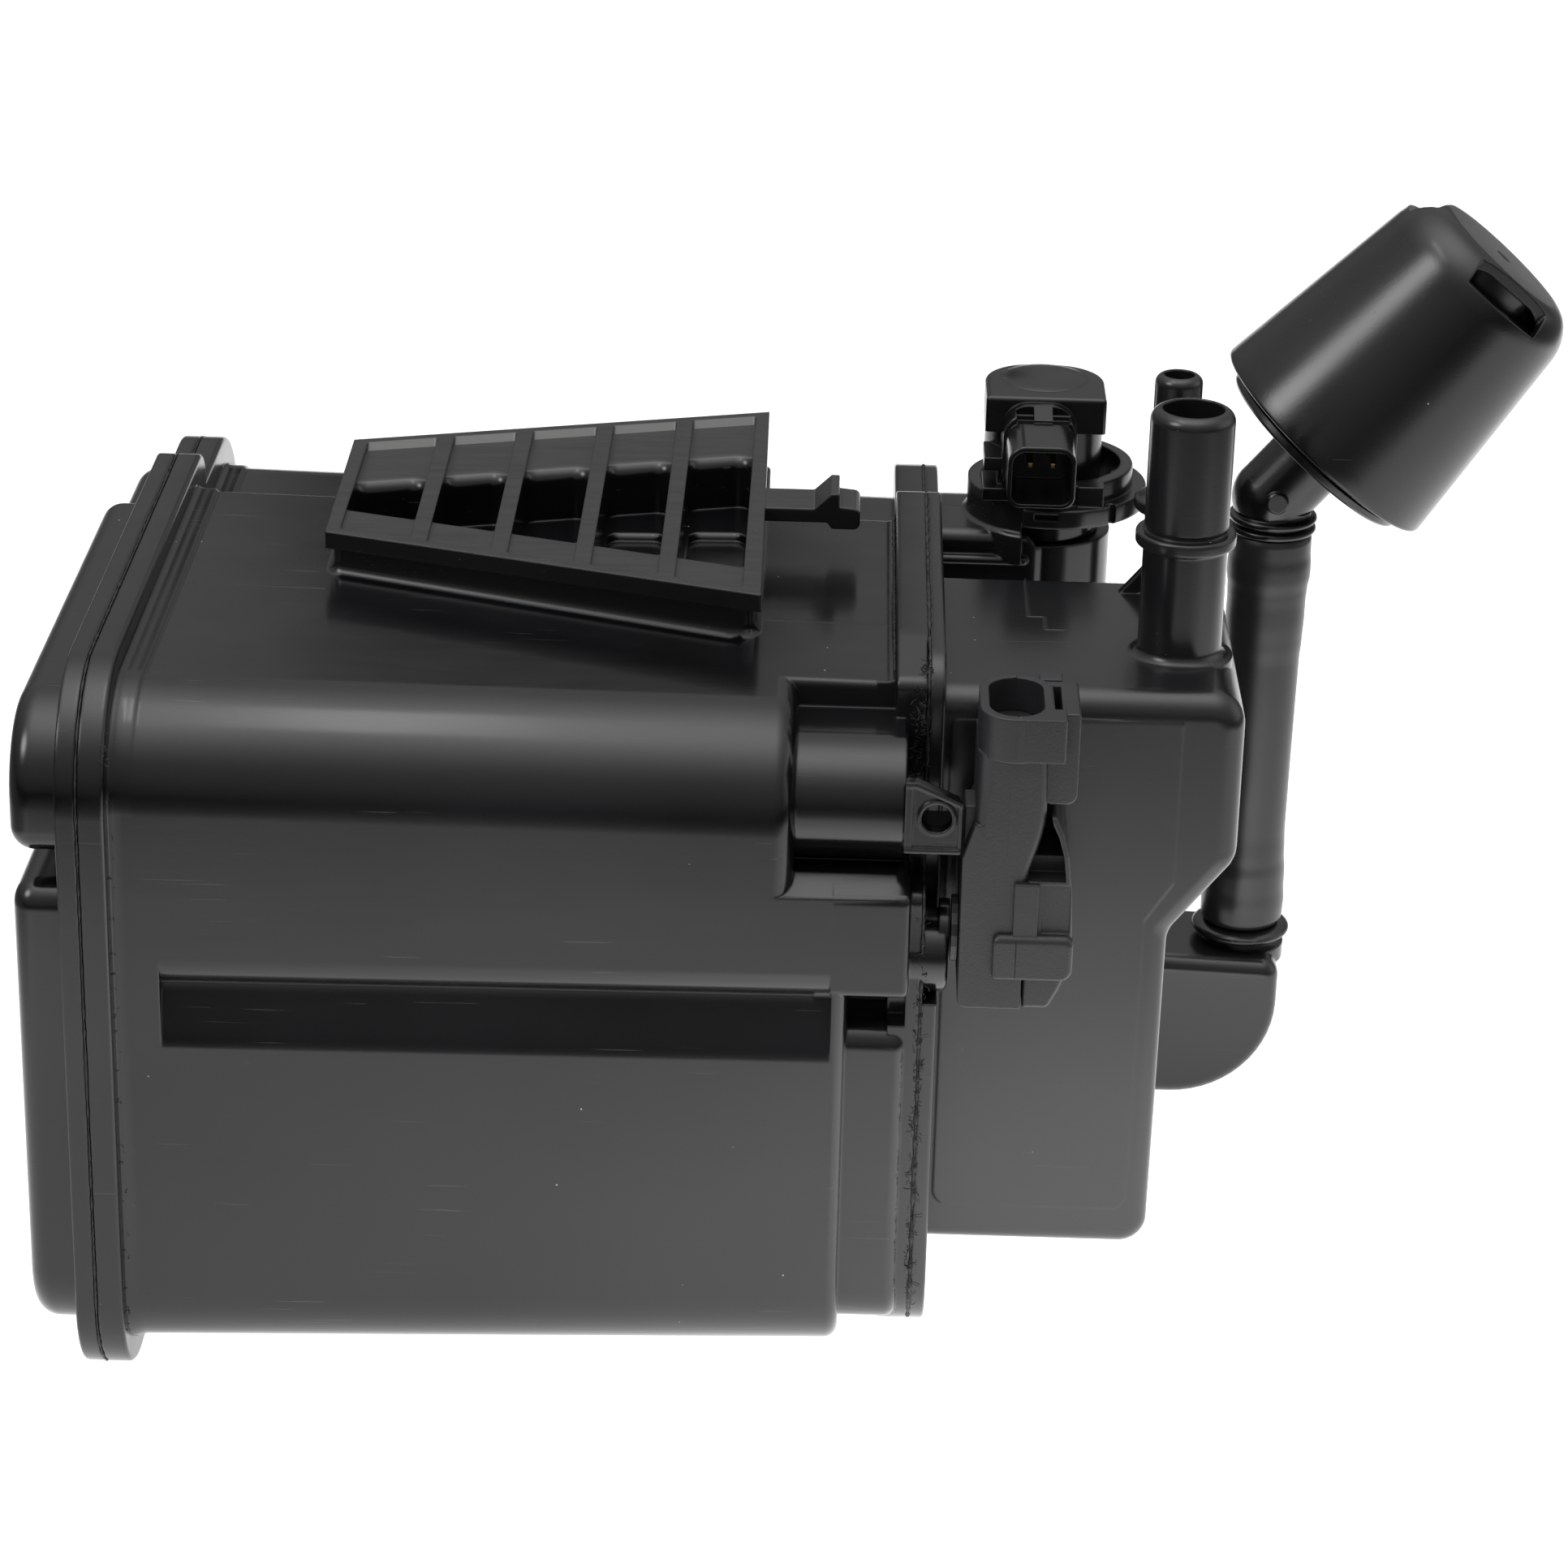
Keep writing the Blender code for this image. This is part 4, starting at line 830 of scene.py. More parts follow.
def finger_shape():
    side = [(119.5, 142.5, 0), (119.5, 145.4, 0), (131.0, 145.4, 0.5), (134.4, 148.6, 0), (136.0, 148.6, 0.3),
            (136.0, 145.9, 0.4), (140.2, 145.5, 1.3), (140.2, 141.2, 1.3), (134.6, 141.2, 0.8), (133.8, 142.5, 0.8)]
    return pillow(side, "y", 98.9, 110.6, 0.25, 0.25, 4, 2)


def mould_line(x0, x1, y):
    """Hairline left by the tool's parting on the chamber's top."""
    rings = []
    for x in (x0, x1):
        z = at_station(front_corners, x)[1][1]
        rings.append([(x, y - 0.14, z - 0.3), (x, y + 0.14, z - 0.3), (x, y + 0.10, z + 0.06), (x, y - 0.10, z + 0.06)])
    return loft(rings)


body = solid(
    "canister_shell", chamber(front_corners, ROOT),
    ("+", [chamber(rear_corners, ROOT), box(FLANGE_L - 1, 123.6, 63.0, FLANGE_R0 + 1, 132.6, 66.0)]),
    ("-", [groove_shape(), as_bmesh(end_tool), box(140.2, 126.0, -8.0, 152.0, 190.0, 9.4),
           pocket_shape()]),
    ("+", [turned([(0, 129.0), (12.0, 129.0), (12.0, 149.3), (11.85, 149.7), (11.5, 149.9), (0, 149.9)], 72, "x", (23.0, 117.2)),
           box(126.5, 22.0, 106.0, 149.5, 38.0, 129.15),
           pillow([(7.05, 82.9, 1.6), (7.05, 103.15, 2.4), (12.1, 106.15, 0), (30.0, 106.15, 0), (30.0, 82.9, 0)], "x", 136.9, 151.3, 0.0, 1.2, 8, 4),
           pillow([(8.6, 11.5, 9), (8.6, 76.2, 4.9), (32.0, 76.2, 0), (32.0, 11.5, 0)], "x", 138.5, 151.4, 0, 2.6, 8, 6),
           pillow(LEFT_OUTLINE, "x", GAP / 2, FLANGE_L, 0.45, 0.8, SEG, 3),
           pillow(FLANGE_RIGHT, "x", FLANGE_R0, FLANGE_R1, 0.5, 0.35, SEG, 3), root_fillet(),
           turned([(0, 146.0), (7.8, 146.0), (7.8, 157.6), (7.5, 158.2), (6.9, 158.45), (0, 158.5)], 56, "x", (17.0, 88.9)),
           rod(5.4, 156.6, 158.6, 40, "x", STUB), mould_line(11.0, 37.3, 71.8), mould_line(121.5, 147.0, 65.1),
           prism([(149.5, 112.5, 0.8), (149.5, 126.3, 0.8), (151.6, 126.3, 0), (159.6, 122.6, 0.8), (159.9, 112.5, 0.8)], "y", 8.0, 10.6, 4),
           prism([(149.5, 112.6, 0), (149.5, 114.8, 0), (159.4, 114.8, 0), (159.4, 112.6, 0)], "y", 8.0, 22.0, 1),
           pillow([(149.5, 112.5, 0.2), (149.5, 113.5, 0), (159.9, 113.5, 0.2), (159.9, 112.5, 0.2)], "y", 7.3, 9.0, 0.2, 0, 2, 2),
           prism([(149.5, 125.4, 0), (149.5, 126.4, 0.3), (151.6, 126.4, 0), (160.0, 122.5, 0.3), (160.0, 121.5, 0), (151.4, 125.4, 0)], "y", 7.4, 9.0, 2),
           box(159.2, 7.5, 113.0, 159.9, 9.0, 122.4), box(149.5, 7.5, 113.0, 150.9, 9.0, 126.0),
           turned([(2.6, 7.5), (3.5, 7.5), (3.5, 9.0), (2.6, 9.0)], 40, "y", (155.3, 119.5)),
           tray_foot(),
           loft([ring(TRAY, "z", 142.0), ring(TRAY, "z", TRAY_TOP)]),
           finger_shape()]),
    ("-", cell_shapes() + [
        hollow(low_space, [-1.0, LOW_END]), prism(rect(32.6, 12.4, 121.6, BED_SPLIT - 1.9, 6), "x", LOW_END - 2, 155.0, 6),
        hollow(up_space, [-1.0, UP_END]), prism([(41.0, BED_SPLIT + 1.3, 3), (41.0, 130.6, 3), (121.6, 130.6, 3), (121.6, BED_SPLIT + 1.3, 3)], "x", UP_END - 2, 155.0, 6),
        hollow(rear_space, [-1.0, REAR_END]), prism(rect(135.0, 12.4, 176.0, 119.0, 4), "x", REAR_END - 2, 155.0, 6),
        rod(2.3, 140.0, 160.0, 32, "x", STUB), box(140.25, 2.0, 76.35, 150.9, 15.0, 82.75), prism(rect(140.0, 15.0, 144.4, 36.0), "z", 90.5, 96.5),
        rod(2.8, 5.0, 14.0, 36, "y", (155.3, 119.5))]),
)
finish_piece(body, black, "black_plastic", "canister_body")

# ---- end cap --------------------------------------------------------------------------
UPPER_DOME = [(4.6, 107.8, 5), (4.6, 135.0, 18), (123.5, 135.0, 5), (123.5, 107.8, 4)]
LOWER_DOME = [(4.6, 6.0, 15), (4.6, 101.9, 5), (123.5, 101.9, 4), (123.5, 6.0, 12)]
REAR_DOME = [(131.5, 6.0, 10), (131.5, 126.6, 8), (180.5, 126.6, 19), (180.5, 6.0, 15)]
cap = solid(
    "end_cap_shell", pillow(LEFT_OUTLINE, "x", -GAP / 2, -CAP_FLANGE, 0.45, 0.6, SEG, 3),
    ("+", [pillow(d, "x", -2.0, -CAP_DEPTH, 0, 4.4, SEG, 8) for d in (UPPER_DOME, LOWER_DOME, REAR_DOME)]),
    ("-", [pillow(inset(d, WALL + 0.8), "x", 1.0, -CAP_DEPTH + WALL, 0, 1.2, 6, 2) for d in (UPPER_DOME, LOWER_DOME, REAR_DOME)]),
)
finish_piece(cap, black, "black_plastic", "end_cap")

# ---- manifold cover -----------------------------------------------------------------------
BOX_FRONT, BOX_BACK = 34.0, 95.0
COVER_SIDE = [(154.5, 17.8, 0), (154.5, 133.9, 0), (212.9, 133.9, 6.6), (212.9, 100.5, 6), (200.6, 84.8, 6), (200.0, 17.8, 5.5)]
COVER_FRONT_R = [0.05, 5.0, 4.4, 3.6, 3.2, 3.4]


def cut_back(name, first, *cuts):
    return as_bmesh(solid(name, first, ("-", list(cuts))))


def valve_cup():
    """Socket wall round the valve, low at the front left and high at the back right."""
    wall = turned([(0, 132.9), (17.0, 132.9), (17.0, 140.8), (16.8, 141.2), (16.4, 141.4), (0, 141.4)], 96, "z", SOCKET)
    return cut_back("cup_tool", wall, box(155.0, 120.0, 137.4, 183.0, 144.0, 143.0), box(155.0, 143.0, 137.4, 171.0, 170.0, 143.0))


def cup_foot():
    """The socket's left half runs down to the duct, with a rounded skirt."""
    foot_ = turned([(0, 124.0), (18.6, 124.0), (18.3, 129.6), (17.9, 130.2), (17.25, 130.6), (17.0, 131.3), (17.0, 133.5), (0, 133.5)], 96, "z", SOCKET)
    return cut_back("foot_tool", foot_, box(173.6, 120.0, 120.0, 200.0, 170.0, 134.0))


def valve_lip():
    """Wider band round the socket's right half, with its catch, slot and drain hole."""
    lip = turned([(0, 132.7), (19.2, 132.7), (19.8, 133.0), (20.0, 133.7), (20.0, 136.4), (19.8, 136.8), (19.4, 136.9), (0, 136.9)], 96, "z", SOCKET)
    return cut_back("lip_tool", lip, box(155.0, 120.0, 130.0, 173.6, 170.0, 138.0), rod(1.0, 130.0, 138.0, 20, "z", (191.6, 129.6)),
                    box(175.9, 122.0, 134.9, 180.7, 127.4, 136.2))


large_port = turned([(0, 128.0), (10.2, 128.0), (10.2, 133.8)] + [(PORT_L_R + 1.9 * (1 - math.sin(math.radians(a))), 133.9 + 1.9 * (1 - math.cos(math.radians(a)))) for a in (10, 25, 40, 55, 70, 80, 90)]
                    + [(PORT_L_R, 155.3), (8.3, 155.75), (8.9, 155.85)] + arc(8.9, 156.45, 0.6, -80, 0, 4) + arc(8.9, 157.9, 0.6, 0, 85, 4) + [(8.2, 158.5), (7.6, 158.45), (7.55, 159.1), (PORT_L_R, 159.6), (PORT_L_R, 180.2)]
                    + arc(5.75, 180.2, 2.2, 6, 90, 9) + [(0, PORT_L_TOP)], 72, "z", PORT_L)
small_port = turned([(0, 128.0), (6.8, 128.0), (6.8, 133.8)] + [(PORT_S_R + 1.4 * (1 - math.sin(math.radians(a))), 133.9 + 1.4 * (1 - math.cos(math.radians(a)))) for a in (10, 30, 50, 70, 90)]
                    + [(PORT_S_R, 151.2), (6.9, 151.5), (7.35, 152.0), (7.4, 152.9), (7.3, 153.7), (6.9, 154.1), (PORT_S_R, 154.4), (PORT_S_R, 177.2)]
                    + arc(2.95, 177.25, 1.65, 6, 90, 7) + [(0, PORT_S_TOP)], 56, "z", PORT_S)


def cover_lines():
    """Faint mould lines on top of the box, a few hundredths of a millimetre high."""
    lo, hi = 133.6, 134.02
    return [box(173.0, 73.3, lo, 173.35, 94.0, hi), box(173.0, 73.1, lo, 176.4, 73.45, hi), box(176.05, 66.6, lo, 176.4, 73.3, hi), box(176.05, 66.4, lo, 180.0, 66.75, hi)]


cover = solid(
    "manifold_shell", pillow(FLANGE_COVER, "x", FLANGE_R1 + GAP, COVER_R1 + 0.5, 0.35, 0.6, SEG, 3),
    ("+", [pillow_each(COVER_SIDE, "y", BOX_FRONT, BOX_BACK, COVER_FRONT_R, 2.6, 12, 9),
           pillow([(158.0, 26.0, 3), (158.0, 128.3, 1.5), (201.2, 128.7, 0.4), (201.2, 96.0, 0.4), (196.0, 88.0, 3), (195.6, 26.0, 3)], "y", 33.84, 35.5, 0.12, 0, 6, 1),
           pillow([(154.5, 100.0, 0), (154.5, 130.1, 0), (178.4, 130.1, 4.2), (178.4, 100.0, 0)], "y", 130.4, 146.0, 2.6, 0, 10, 6),
           pillow([(154.5, 123.2, 0.9), (154.5, 125.2, 0.9), (175.2, 125.2, 0.9), (175.2, 123.2, 0.9)], "y", 128.8, 134.0, 0.9, 0, 5, 4),
           cup_foot(),
           pillow([(131.0, 12.0, 5), (131.0, 126.0, 4.5), (178.5, 126.0, 16), (178.5, 12.0, 12)], "x", 154.5, 176.8, 0, 3.0, SEG, 6),
           rod(13.4, 20.0, 128.0, 96, "z", (179.0, 144.8)),
           valve_cup(), valve_lip(), box(184.6, 128.0, 135.0, 190.0, 134.0, 141.2),
           pillow([(160.0, 1.2, 2), (160.0, 34.2, 0), (178.0, 35.4, 0), (233.2, 33.4, 4.0), (233.2, 1.2, 22)], "y", 131.2, 158.4, 3.4, 3.4, 14, 6),
           turned([(0, 30.0), (9.4, 30.0), (9.4, 33.4), (8.4, 33.8), (7.8, 34.6), (7.6, 35.2), (9.6, 35.5)] + arc(9.7, 36.6, 0.75, -70, 70, 5) + [(9.4, 37.7), (7.6, 38.2), (5.7, 38.3), (5.7, 50.0), (6.0, 50.5), (5.2, 53.0), (0, 53.0)], 64, "z", HOSE_FOOT[:2]),
           large_port, small_port,
           prism([(191.4, 131.0, 0), (191.4, 133.8, 0), (198.2, 142.0, 0), (199.0, 142.0, 0), (199.0, 131.0, 0)], "y", 87.2, 89.4, 1)] + cover_lines()),
    ("-", [box(152.0, 5.0, 81.0, 158.0, 28.0, 129.0),
           pillow([(150.0, 21.3, 2), (150.0, 130.4, 2), (210.0, 130.4, 3), (210.0, 101.8, 3), (197.8, 86.4, 3), (197.2, 21.3, 3)], "y", BOX_FRONT + 2.8, BOX_BACK - 2.8, 1.0, 1.0, 3, 2),
           prism(rect(134.0, 15.0, 175.6, 123.0, 4), "x", 150.0, 162.6, 4),
           turned([(0, 126.0), (5.75, 126.0), (5.75, 182.1), (6.0, 182.6), (6.0, 185.0), (0, 185.0)], 64, "z", PORT_L),
           turned([(0, 126.0), (2.95, 126.0), (2.95, 178.7), (3.1, 179.1), (3.1, 181.0), (0, 181.0)], 48, "z", PORT_S),
           turned([(0, 14.0), (9.0, 14.0), (9.0, 70.0), (11.7, 72.0), (11.7, 128.0), (0, 128.0)], 64, "z", VALVE),
           rod(14.4, 126.9, 145.0, 96, "z", SOCKET),
           box(160.0, 138.0, 76.0, 168.5, 151.6, 84.0),
           prism([(183.0, 4.5, 2), (183.0, 30.6, 2), (230.0, 30.6, 2), (230.0, 4.5, 18)], "y", 134.2, 155.4, 6),
           box(178.2, 137.5, 16.0, 186.0, 152.0, 29.0),
           rod(4.3, 26.0, 56.0, 40, "z", HOSE_FOOT[:2])]),
)
finish_piece(cover, black_side, "black_plastic", "manifold_cover")

# ---- vent valve -----------------------------------------------------------------------------
head = solid(
    "vent_valve_head", turned([(0, 86.0), (11.3, 86.0), (11.3, 124.4), (10.0, 124.5), (10.0, 126.7), (11.3, 127.2), (12.1, 127.4), (12.1, 151.0), (0, 151.0)], 96, "z", VALVE),
    ("+", [pillow([(165.4, 134.2, 0.7), (165.4, 157.0, 10.5), (190.0, 157.0, 10.5), (190.0, 134.2, 0.7)], "z", 150.4, 158.0, 0.25, 0.9, 18, 5),
           turned([(0, 157.0), (9.4, 157.0), (9.2, 157.9), (8.7, 158.25), (7.0, 158.6), (4.0, 158.85), (0, 158.95)], 72, "z", (177.6, 147.2)),
           pillow([(169.5, 142.0, 2.6), (169.5, 155.0, 3.6), (183.2, 155.0, 3.6), (183.2, 142.0, 2.6)], "y", 112.0, 140.0, 0.45, 0, 9, 4),
           pillow([(168.9, 141.4, 2.8), (168.9, 157.0, 5.2), (183.9, 157.0, 5.2), (183.9, 141.4, 2.8)], "y", 127.0, 140.0, 0.45, 0, 9, 4),
           pillow([(165.3, 143.6, 0.3), (165.3, 146.4, 0.3), (170.5, 146.4, 0), (170.5, 143.6, 0)], "y", 129.8, 140.0, 0.2, 0, 2, 2),
           pillow([(165.2, 137.9, 0.3), (165.2, 140.6, 0.3), (170.5, 140.6, 0), (170.5, 137.9, 0)], "y", 127.6, 138.0, 0.2, 0, 2, 2),
           pillow([(168.2, 139.0, 0.2), (168.2, 145.0, 0.2), (169.6, 145.0, 0), (169.6, 139.0, 0)], "y", 130.4, 138.0, 0.2, 0, 2, 2)]),
    ("-", [pillow([(170.4, 142.9, 2.0), (170.4, 153.9, 2.6), (182.3, 153.9, 2.6), (182.3, 142.9, 2.0)], "y", 108.0, 128.0, 0, 0, 8, 1),
           rod(10.3, 80.0, 124.0, 64, "z", VALVE),
           prism([(110.0, 155.02, 0), (110.0, 160.0, 0), (131.9, 160.0, 0), (131.9, 155.02, 0)], "x", 171.4, 175.0, 1),
           prism([(110.0, 155.02, 0), (110.0, 160.0, 0), (131.9, 160.0, 0), (131.9, 155.02, 0)], "x", 178.8, 182.6, 1),
           prism([(110.0, 155.05, 0), (110.0, 160.0, 0), (132.4, 160.0, 0), (132.4, 157.05, 0), (125.0, 155.05, 0)], "x", 174.9, 178.9, 1),
           box(171.7, 126.4, 154.0, 175.0, 131.6, 155.5), box(178.8, 126.4, 154.0, 182.2, 131.6, 155.5),
           box(174.2 - 0.9, 126.0, 148.0, 174.2 + 0.9, 133.2, 150.2), box(178.8 - 0.9, 126.0, 148.0, 178.8 + 0.9, 133.2, 150.2)]),
)
finish_piece(head, black_plain, "black_plastic", "vent_valve_housing")

for tag, x in (("a", 174.2), ("b", 178.8)):
    blade = pillow(rect(x - 0.6, 148.5, x + 0.6, 149.7, 0.12), "y", 118.0, 132.8, 0.35, 0, 3, 3)
    finish_piece(link("vent_valve_blade_" + tag, blade), brass, "terminal_brass", "vent_valve_terminal_" + tag)

# ---- pressure sensor ---------------------------------------------------------------------------
NECK = [(104.0, 171.9), (107.3, 172.2), (109.9, 172.6), (112.0, 173.25), (114.1, 173.9), (116.8, 174.6), (119.3, 175.05), (121.5, 175.2), (127.0, 175.1), (132.5, 174.9)]
sensor = solid(
    "sensor_shell", pillow([(160.3, 81.8, 1.5), (160.2, 112.0, 1.0), (162.3, 118.7, 0.4), (165.0, 118.7, 0), (171.4, 108.0, 0), (172.0, 106.0, 0), (172.0, 81.8, 0.3)], "y", 7.0, 27.0, 0.35, 0.8, 6, 3),
    ("+", [loft([ring(rounded([(162.3, 7.0, 1.1 + 2.2 * min(1.0, max(0.0, (z - 112.0) / 16.0))), (162.3, 26.4, 3.0), (x1, 26.4, 3.0), (x1, 7.0, 1.4)], 10), "z", z) for z, x1 in NECK]),
           prism([(162.4, 118.9, 0), (160.4, 112.2, 0), (164.5, 104.0, 0), (166.5, 104.0, 0), (165.4, 115.0, 0)], "y", 6.99, 9.0, 1),
           pillow(rect(162.4, 5.0, 175.8, 27.0, 6.6), "z", 131.8, 140.4, 0.25, 0.3, 18, 3),
           pillow([(170.5, 5.0, 0.4), (170.5, 12.5, 0), (178.0, 12.5, 0.5), (178.0, 5.0, 0.5)], "z", 132.0, 140.4, 0.2, 0.25, 4, 2),
           pillow([(174.6, 122.5, 1.4), (174.6, 140.3, 0), (180.6, 140.3, 0.4), (180.6, 122.5, 2.0)], "y", 8.6, 24.4, 0.35, 0.35, 6, 3),
           pillow(rect(173.6, 25.0, 177.8, 28.4, 0.3), "z", 134.0, 140.3, 0, 0.2, 2, 2),
           pillow([(160.4, 112.4, 0.4), (160.4, 121.0, 0.4), (162.6, 121.0, 0), (162.6, 112.4, 0)], "y", 10.5, 18.0, 0.4, 0, 3, 2),
           box(169.15, 4.93, 132.6, 169.35, 5.4, 139.8), box(168.4, 6.93, 112.0, 168.6, 7.4, 131.0)]),
    ("-", [box(175.9, 10.6, 130.0, 177.3, 22.0, 141.0),
           pillow(rect(164.1, 6.7, 174.1, 25.3, 5.2), "z", 132.4, 143.0, 0, 0, 18, 1), pillow(rect(164.6, 8.6, 173.2, 24.9, 4.2), "z", 128.0, 134.0, 0, 0, 18, 1),
           box(162.3, 9.0, 84.0, 170.6, 25.0, 104.0), rod(3.0, 155.0, 164.0, 32, "x", STUB)]
     + [box(168.4, y - 0.9, 103.0, 170.2, y + 0.9, 129.0) for y in (11.0, 16.0, 21.0)]),
)
finish_piece(sensor, grey, "grey_plastic", "pressure_sensor_housing")
LID = [(172.25, 82.0, 0.3), (172.25, 108.0, 0), (173.9, 114.6, 0), (175.35, 119.4, 0), (175.9, 120.6, 0.4), (177.0, 120.5, 0.6), (178.5, 117.2, 2), (179.7, 112.8, 3),
       (180.5, 105.5, 5), (180.9, 97.0, 5), (180.6, 90.0, 3), (178.8, 85.6, 2), (177.0, 82.0, 1.5)]
lid = solid(
    "sensor_lid", pillow_each(LID, "y", 7.2, 26.8, [0.8] * 13, 0.6, 5, 5),
    ("-", [prism([(172.0, 107.7, 0), (172.0, 122.0, 0), (175.9, 122.0, 0), (176.5, 119.0, 0), (177.7, 116.4, 0), (178.75, 112.6, 0), (179.3, 107.7, 0)], "y", 4.0, 12.0, 1),
           prism([(172.0, 110.9, 0), (172.0, 122.0, 0), (175.9, 122.0, 0), (176.5, 119.0, 0), (177.7, 116.4, 0), (178.75, 112.6, 0), (178.9, 110.9, 0)], "y", 11.0, 24.5, 1),
           box(175.2, 7.0, 97.5, 180.3, 7.55, 107.0)]),
    ("+", [pillow_each([(166.4, 88.5, 0.7), (166.4, 97.3, 1.4), (181.15, 97.3, 2.0), (181.15, 88.5, 2.0)], "y", 5.4, 12.0, [0.6, 1.5, 1.1, 0.5], 0, 6, 6),
           pillow([(169.9, 95.0, 0), (169.9, 107.5, 0.3), (174.5, 107.5, 0.4), (174.5, 95.0, 0)], "y", 6.1, 9.0, 0.3, 0, 3, 3)]),
    ("-", [box(170.55, 5.3, 86.0, 170.7, 5.52, 99.0)]),
)
finish_piece(lid, grey, "grey_plastic", "pressure_sensor_cover")
for tag, y in (("a", 11.0), ("b", 16.0), ("c", 21.0)):
    blade = pillow(rect(168.8, y - 0.5, 169.8, y + 0.5, 0.1), "z", 101.5, 134.0, 0, 0.3, 3, 3)
    finish_piece(link("sensor_blade_" + tag, blade), brass, "terminal_brass", "pressure_sensor_terminal_" + tag)


# ---- vent hose --------------------------------------------------------------------------------
HOSE_R = [(38.6, 8.55), (40.0, 8.75), (43.0, 8.85), (47.0, 8.6), (50.0, 8.55), (54.0, 8.2), (60.0, 7.95), (80.0, 7.85), (99.0, 7.88), (103.5, 8.1), (108.0, 8.25), (112.0, 8.22), (115.0, 8.35),
          (118.0, 8.72), (120.0, 8.7), (123.0, 8.45), (126.0, 8.4), (127.0, 8.3)]


def hose_radius(z):
    for (za, ra), (zb, rb) in zip(HOSE_R, HOSE_R[1:]):
        if z <= zb:
            t = (z - za) / (zb - za)
            t = t * t * (3 - 2 * t)
            return ra + (rb - ra) * t
    return HOSE_R[-1][1]


def hose_mesh(steps=72, rows=120):
    bm = bmesh.new()
    foot_, head_ = Vector(HOSE_FOOT), Vector(HOSE_HEAD)
    outer = []
    for i in range(rows + 1):
        s = i / rows
        c = foot_.lerp(head_, s)
        r = hose_radius(c.z)
        if i in (0, rows):
            r -= 0.35
        row = []
        for k in range(steps):
            a = 2 * math.pi * k / steps
            wob = 0.05 * noise.noise(Vector((math.cos(a) * 1.3, math.sin(a) * 1.3, c.z * 0.09)))
            row.append(bm.verts.new((c.x + (r + wob) * math.cos(a), c.y + (r + wob) * math.sin(a), c.z)))
        outer.append(row)
    inner = []
    for i in (0, rows):
        c = foot_.lerp(head_, i / rows)
        inner.append([bm.verts.new((c.x + 6.4 * math.cos(2 * math.pi * k / steps), c.y + 6.4 * math.sin(2 * math.pi * k / steps), c.z)) for k in range(steps)])
    for a, b in list(zip(outer, outer[1:])) + [(inner[0], inner[1]), (outer[0], inner[0]), (outer[-1], inner[1])]:
        for k in range(steps):
            bm.faces.new((a[k], a[(k + 1) % steps], b[(k + 1) % steps], b[k]))
    return bm


finish_piece(link("vent_hose_rubber", hose_mesh()), rubber, "hose_rubber", "vent_hose")

# ---- fresh-air filter ----------------------------------------------------------------------------
neck = solid(
    "filter_neck", turned([(0, 111.5), (5.2, 111.5), (6.0, 114.0), (5.7, 114.5), (5.7, 127.3), (8.2, 127.35)] + arc(8.35, 128.2, 0.75, -80, 80, 5) + [(7.9, 129.2), (7.9, 129.5)]
                          + arc(8.45, 130.4, 0.75, -80, 80, 5) + [(8.0, 131.4), (7.9, 132.0), (7.9, 134.2), (0, 134.2)], 64, "z", HOSE_HEAD[:2]),
    ("+", [placed(turned([(ELBOW_R * math.sin(math.pi * k / 24), -ELBOW_R * math.cos(math.pi * k / 24)) for k in range(25)], 64), ELBOW),
           placed(turned([(0, 0.0), (ELBOW_R - 0.05, 0.0), (ELBOW_R - 0.05, 12.0), (8.6, 13.2), (9.4, 14.0), (10.6, 14.4), (10.6, 15.0), (0, 15.0)], 64), ELBOW, FILTER_TILT),
           turned([(0, 135.6), (2.0, 135.6), (2.3, 135.9), (2.3, 138.2), (0, 138.2)], 32, "y", (226.2, 136.0)),
           placed(turned([(0, -3.2), (20.8, -3.2), (21.8, -3.0), (22.3, -2.5), (22.3, -1.3), (21.9, -1.0), (21.6, -1.0), (21.6, 3.0), (20.2, 3.0), (20.2, -1.0), (0, -1.0)], 96), FILTER_BASE, FILTER_TILT)]),
    ("-", [rod(4.4, 108.0, 134.4, 32, "z", HOSE_HEAD[:2]),
           placed(turned([(4.5 * math.sin(math.pi * k / 12), -4.5 * math.cos(math.pi * k / 12)) for k in range(13)], 32), ELBOW),
           placed(rod(4.4, 0.4, 22.0, 32), ELBOW, FILTER_TILT)]),
)
finish_piece(neck, black_plain, "black_plastic", "filter_elbow")


def window(k):
    bm = pillow(rect(15.2, -9.2, 27.5, 9.2, 0.5), "z", 46.8, 54.0, 0, 0, 4, 1)
    bmesh.ops.rotate(bm, matrix=Matrix.Rotation(math.radians(-85 + 120 * k), 3, "Z"), verts=bm.verts[:])
    return placed(bm, FILTER_BASE, FILTER_TILT)


shoulder = [(21.8, 43.5), (21.6, 45.0), (21.2, 46.6), (20.6, 48.1), (19.7, 49.5), (18.7, 50.7), (17.6, 51.6), (16.4, 52.2), (15.2, 52.55), (14.2, FILTER_LEN)]
drum = solid(
    "filter_drum", placed(turned([(24.6, 0.0), (26.2, 0.0), (26.5, 0.25), (26.65, 0.7), (26.4, 3.0)] + shoulder
                                 + [(5.0, FILTER_LEN), (5.0, 50.5), (13.2, 50.5), (13.2, 44.0), (15.0, 44.0), (15.0, 50.2), (16.2, 50.2), (17.9, 48.6), (19.0, 46.0), (19.7, 43.0), (24.3, 1.0)], 128), FILTER_BASE, FILTER_TILT),
    ("+", [placed(turned([(0, 50.5), (6.0, 50.5), (6.0, FILTER_LEN), (1.9, FILTER_LEN), (1.5, 52.3), (0.8, 52.0), (0, 51.9)], 128), FILTER_BASE, FILTER_TILT)]),
    ("-", [window(k) for k in range(3)]),
)
finish_piece(drum, black_drum, "black_plastic", "filter_cap", angle=28.0)


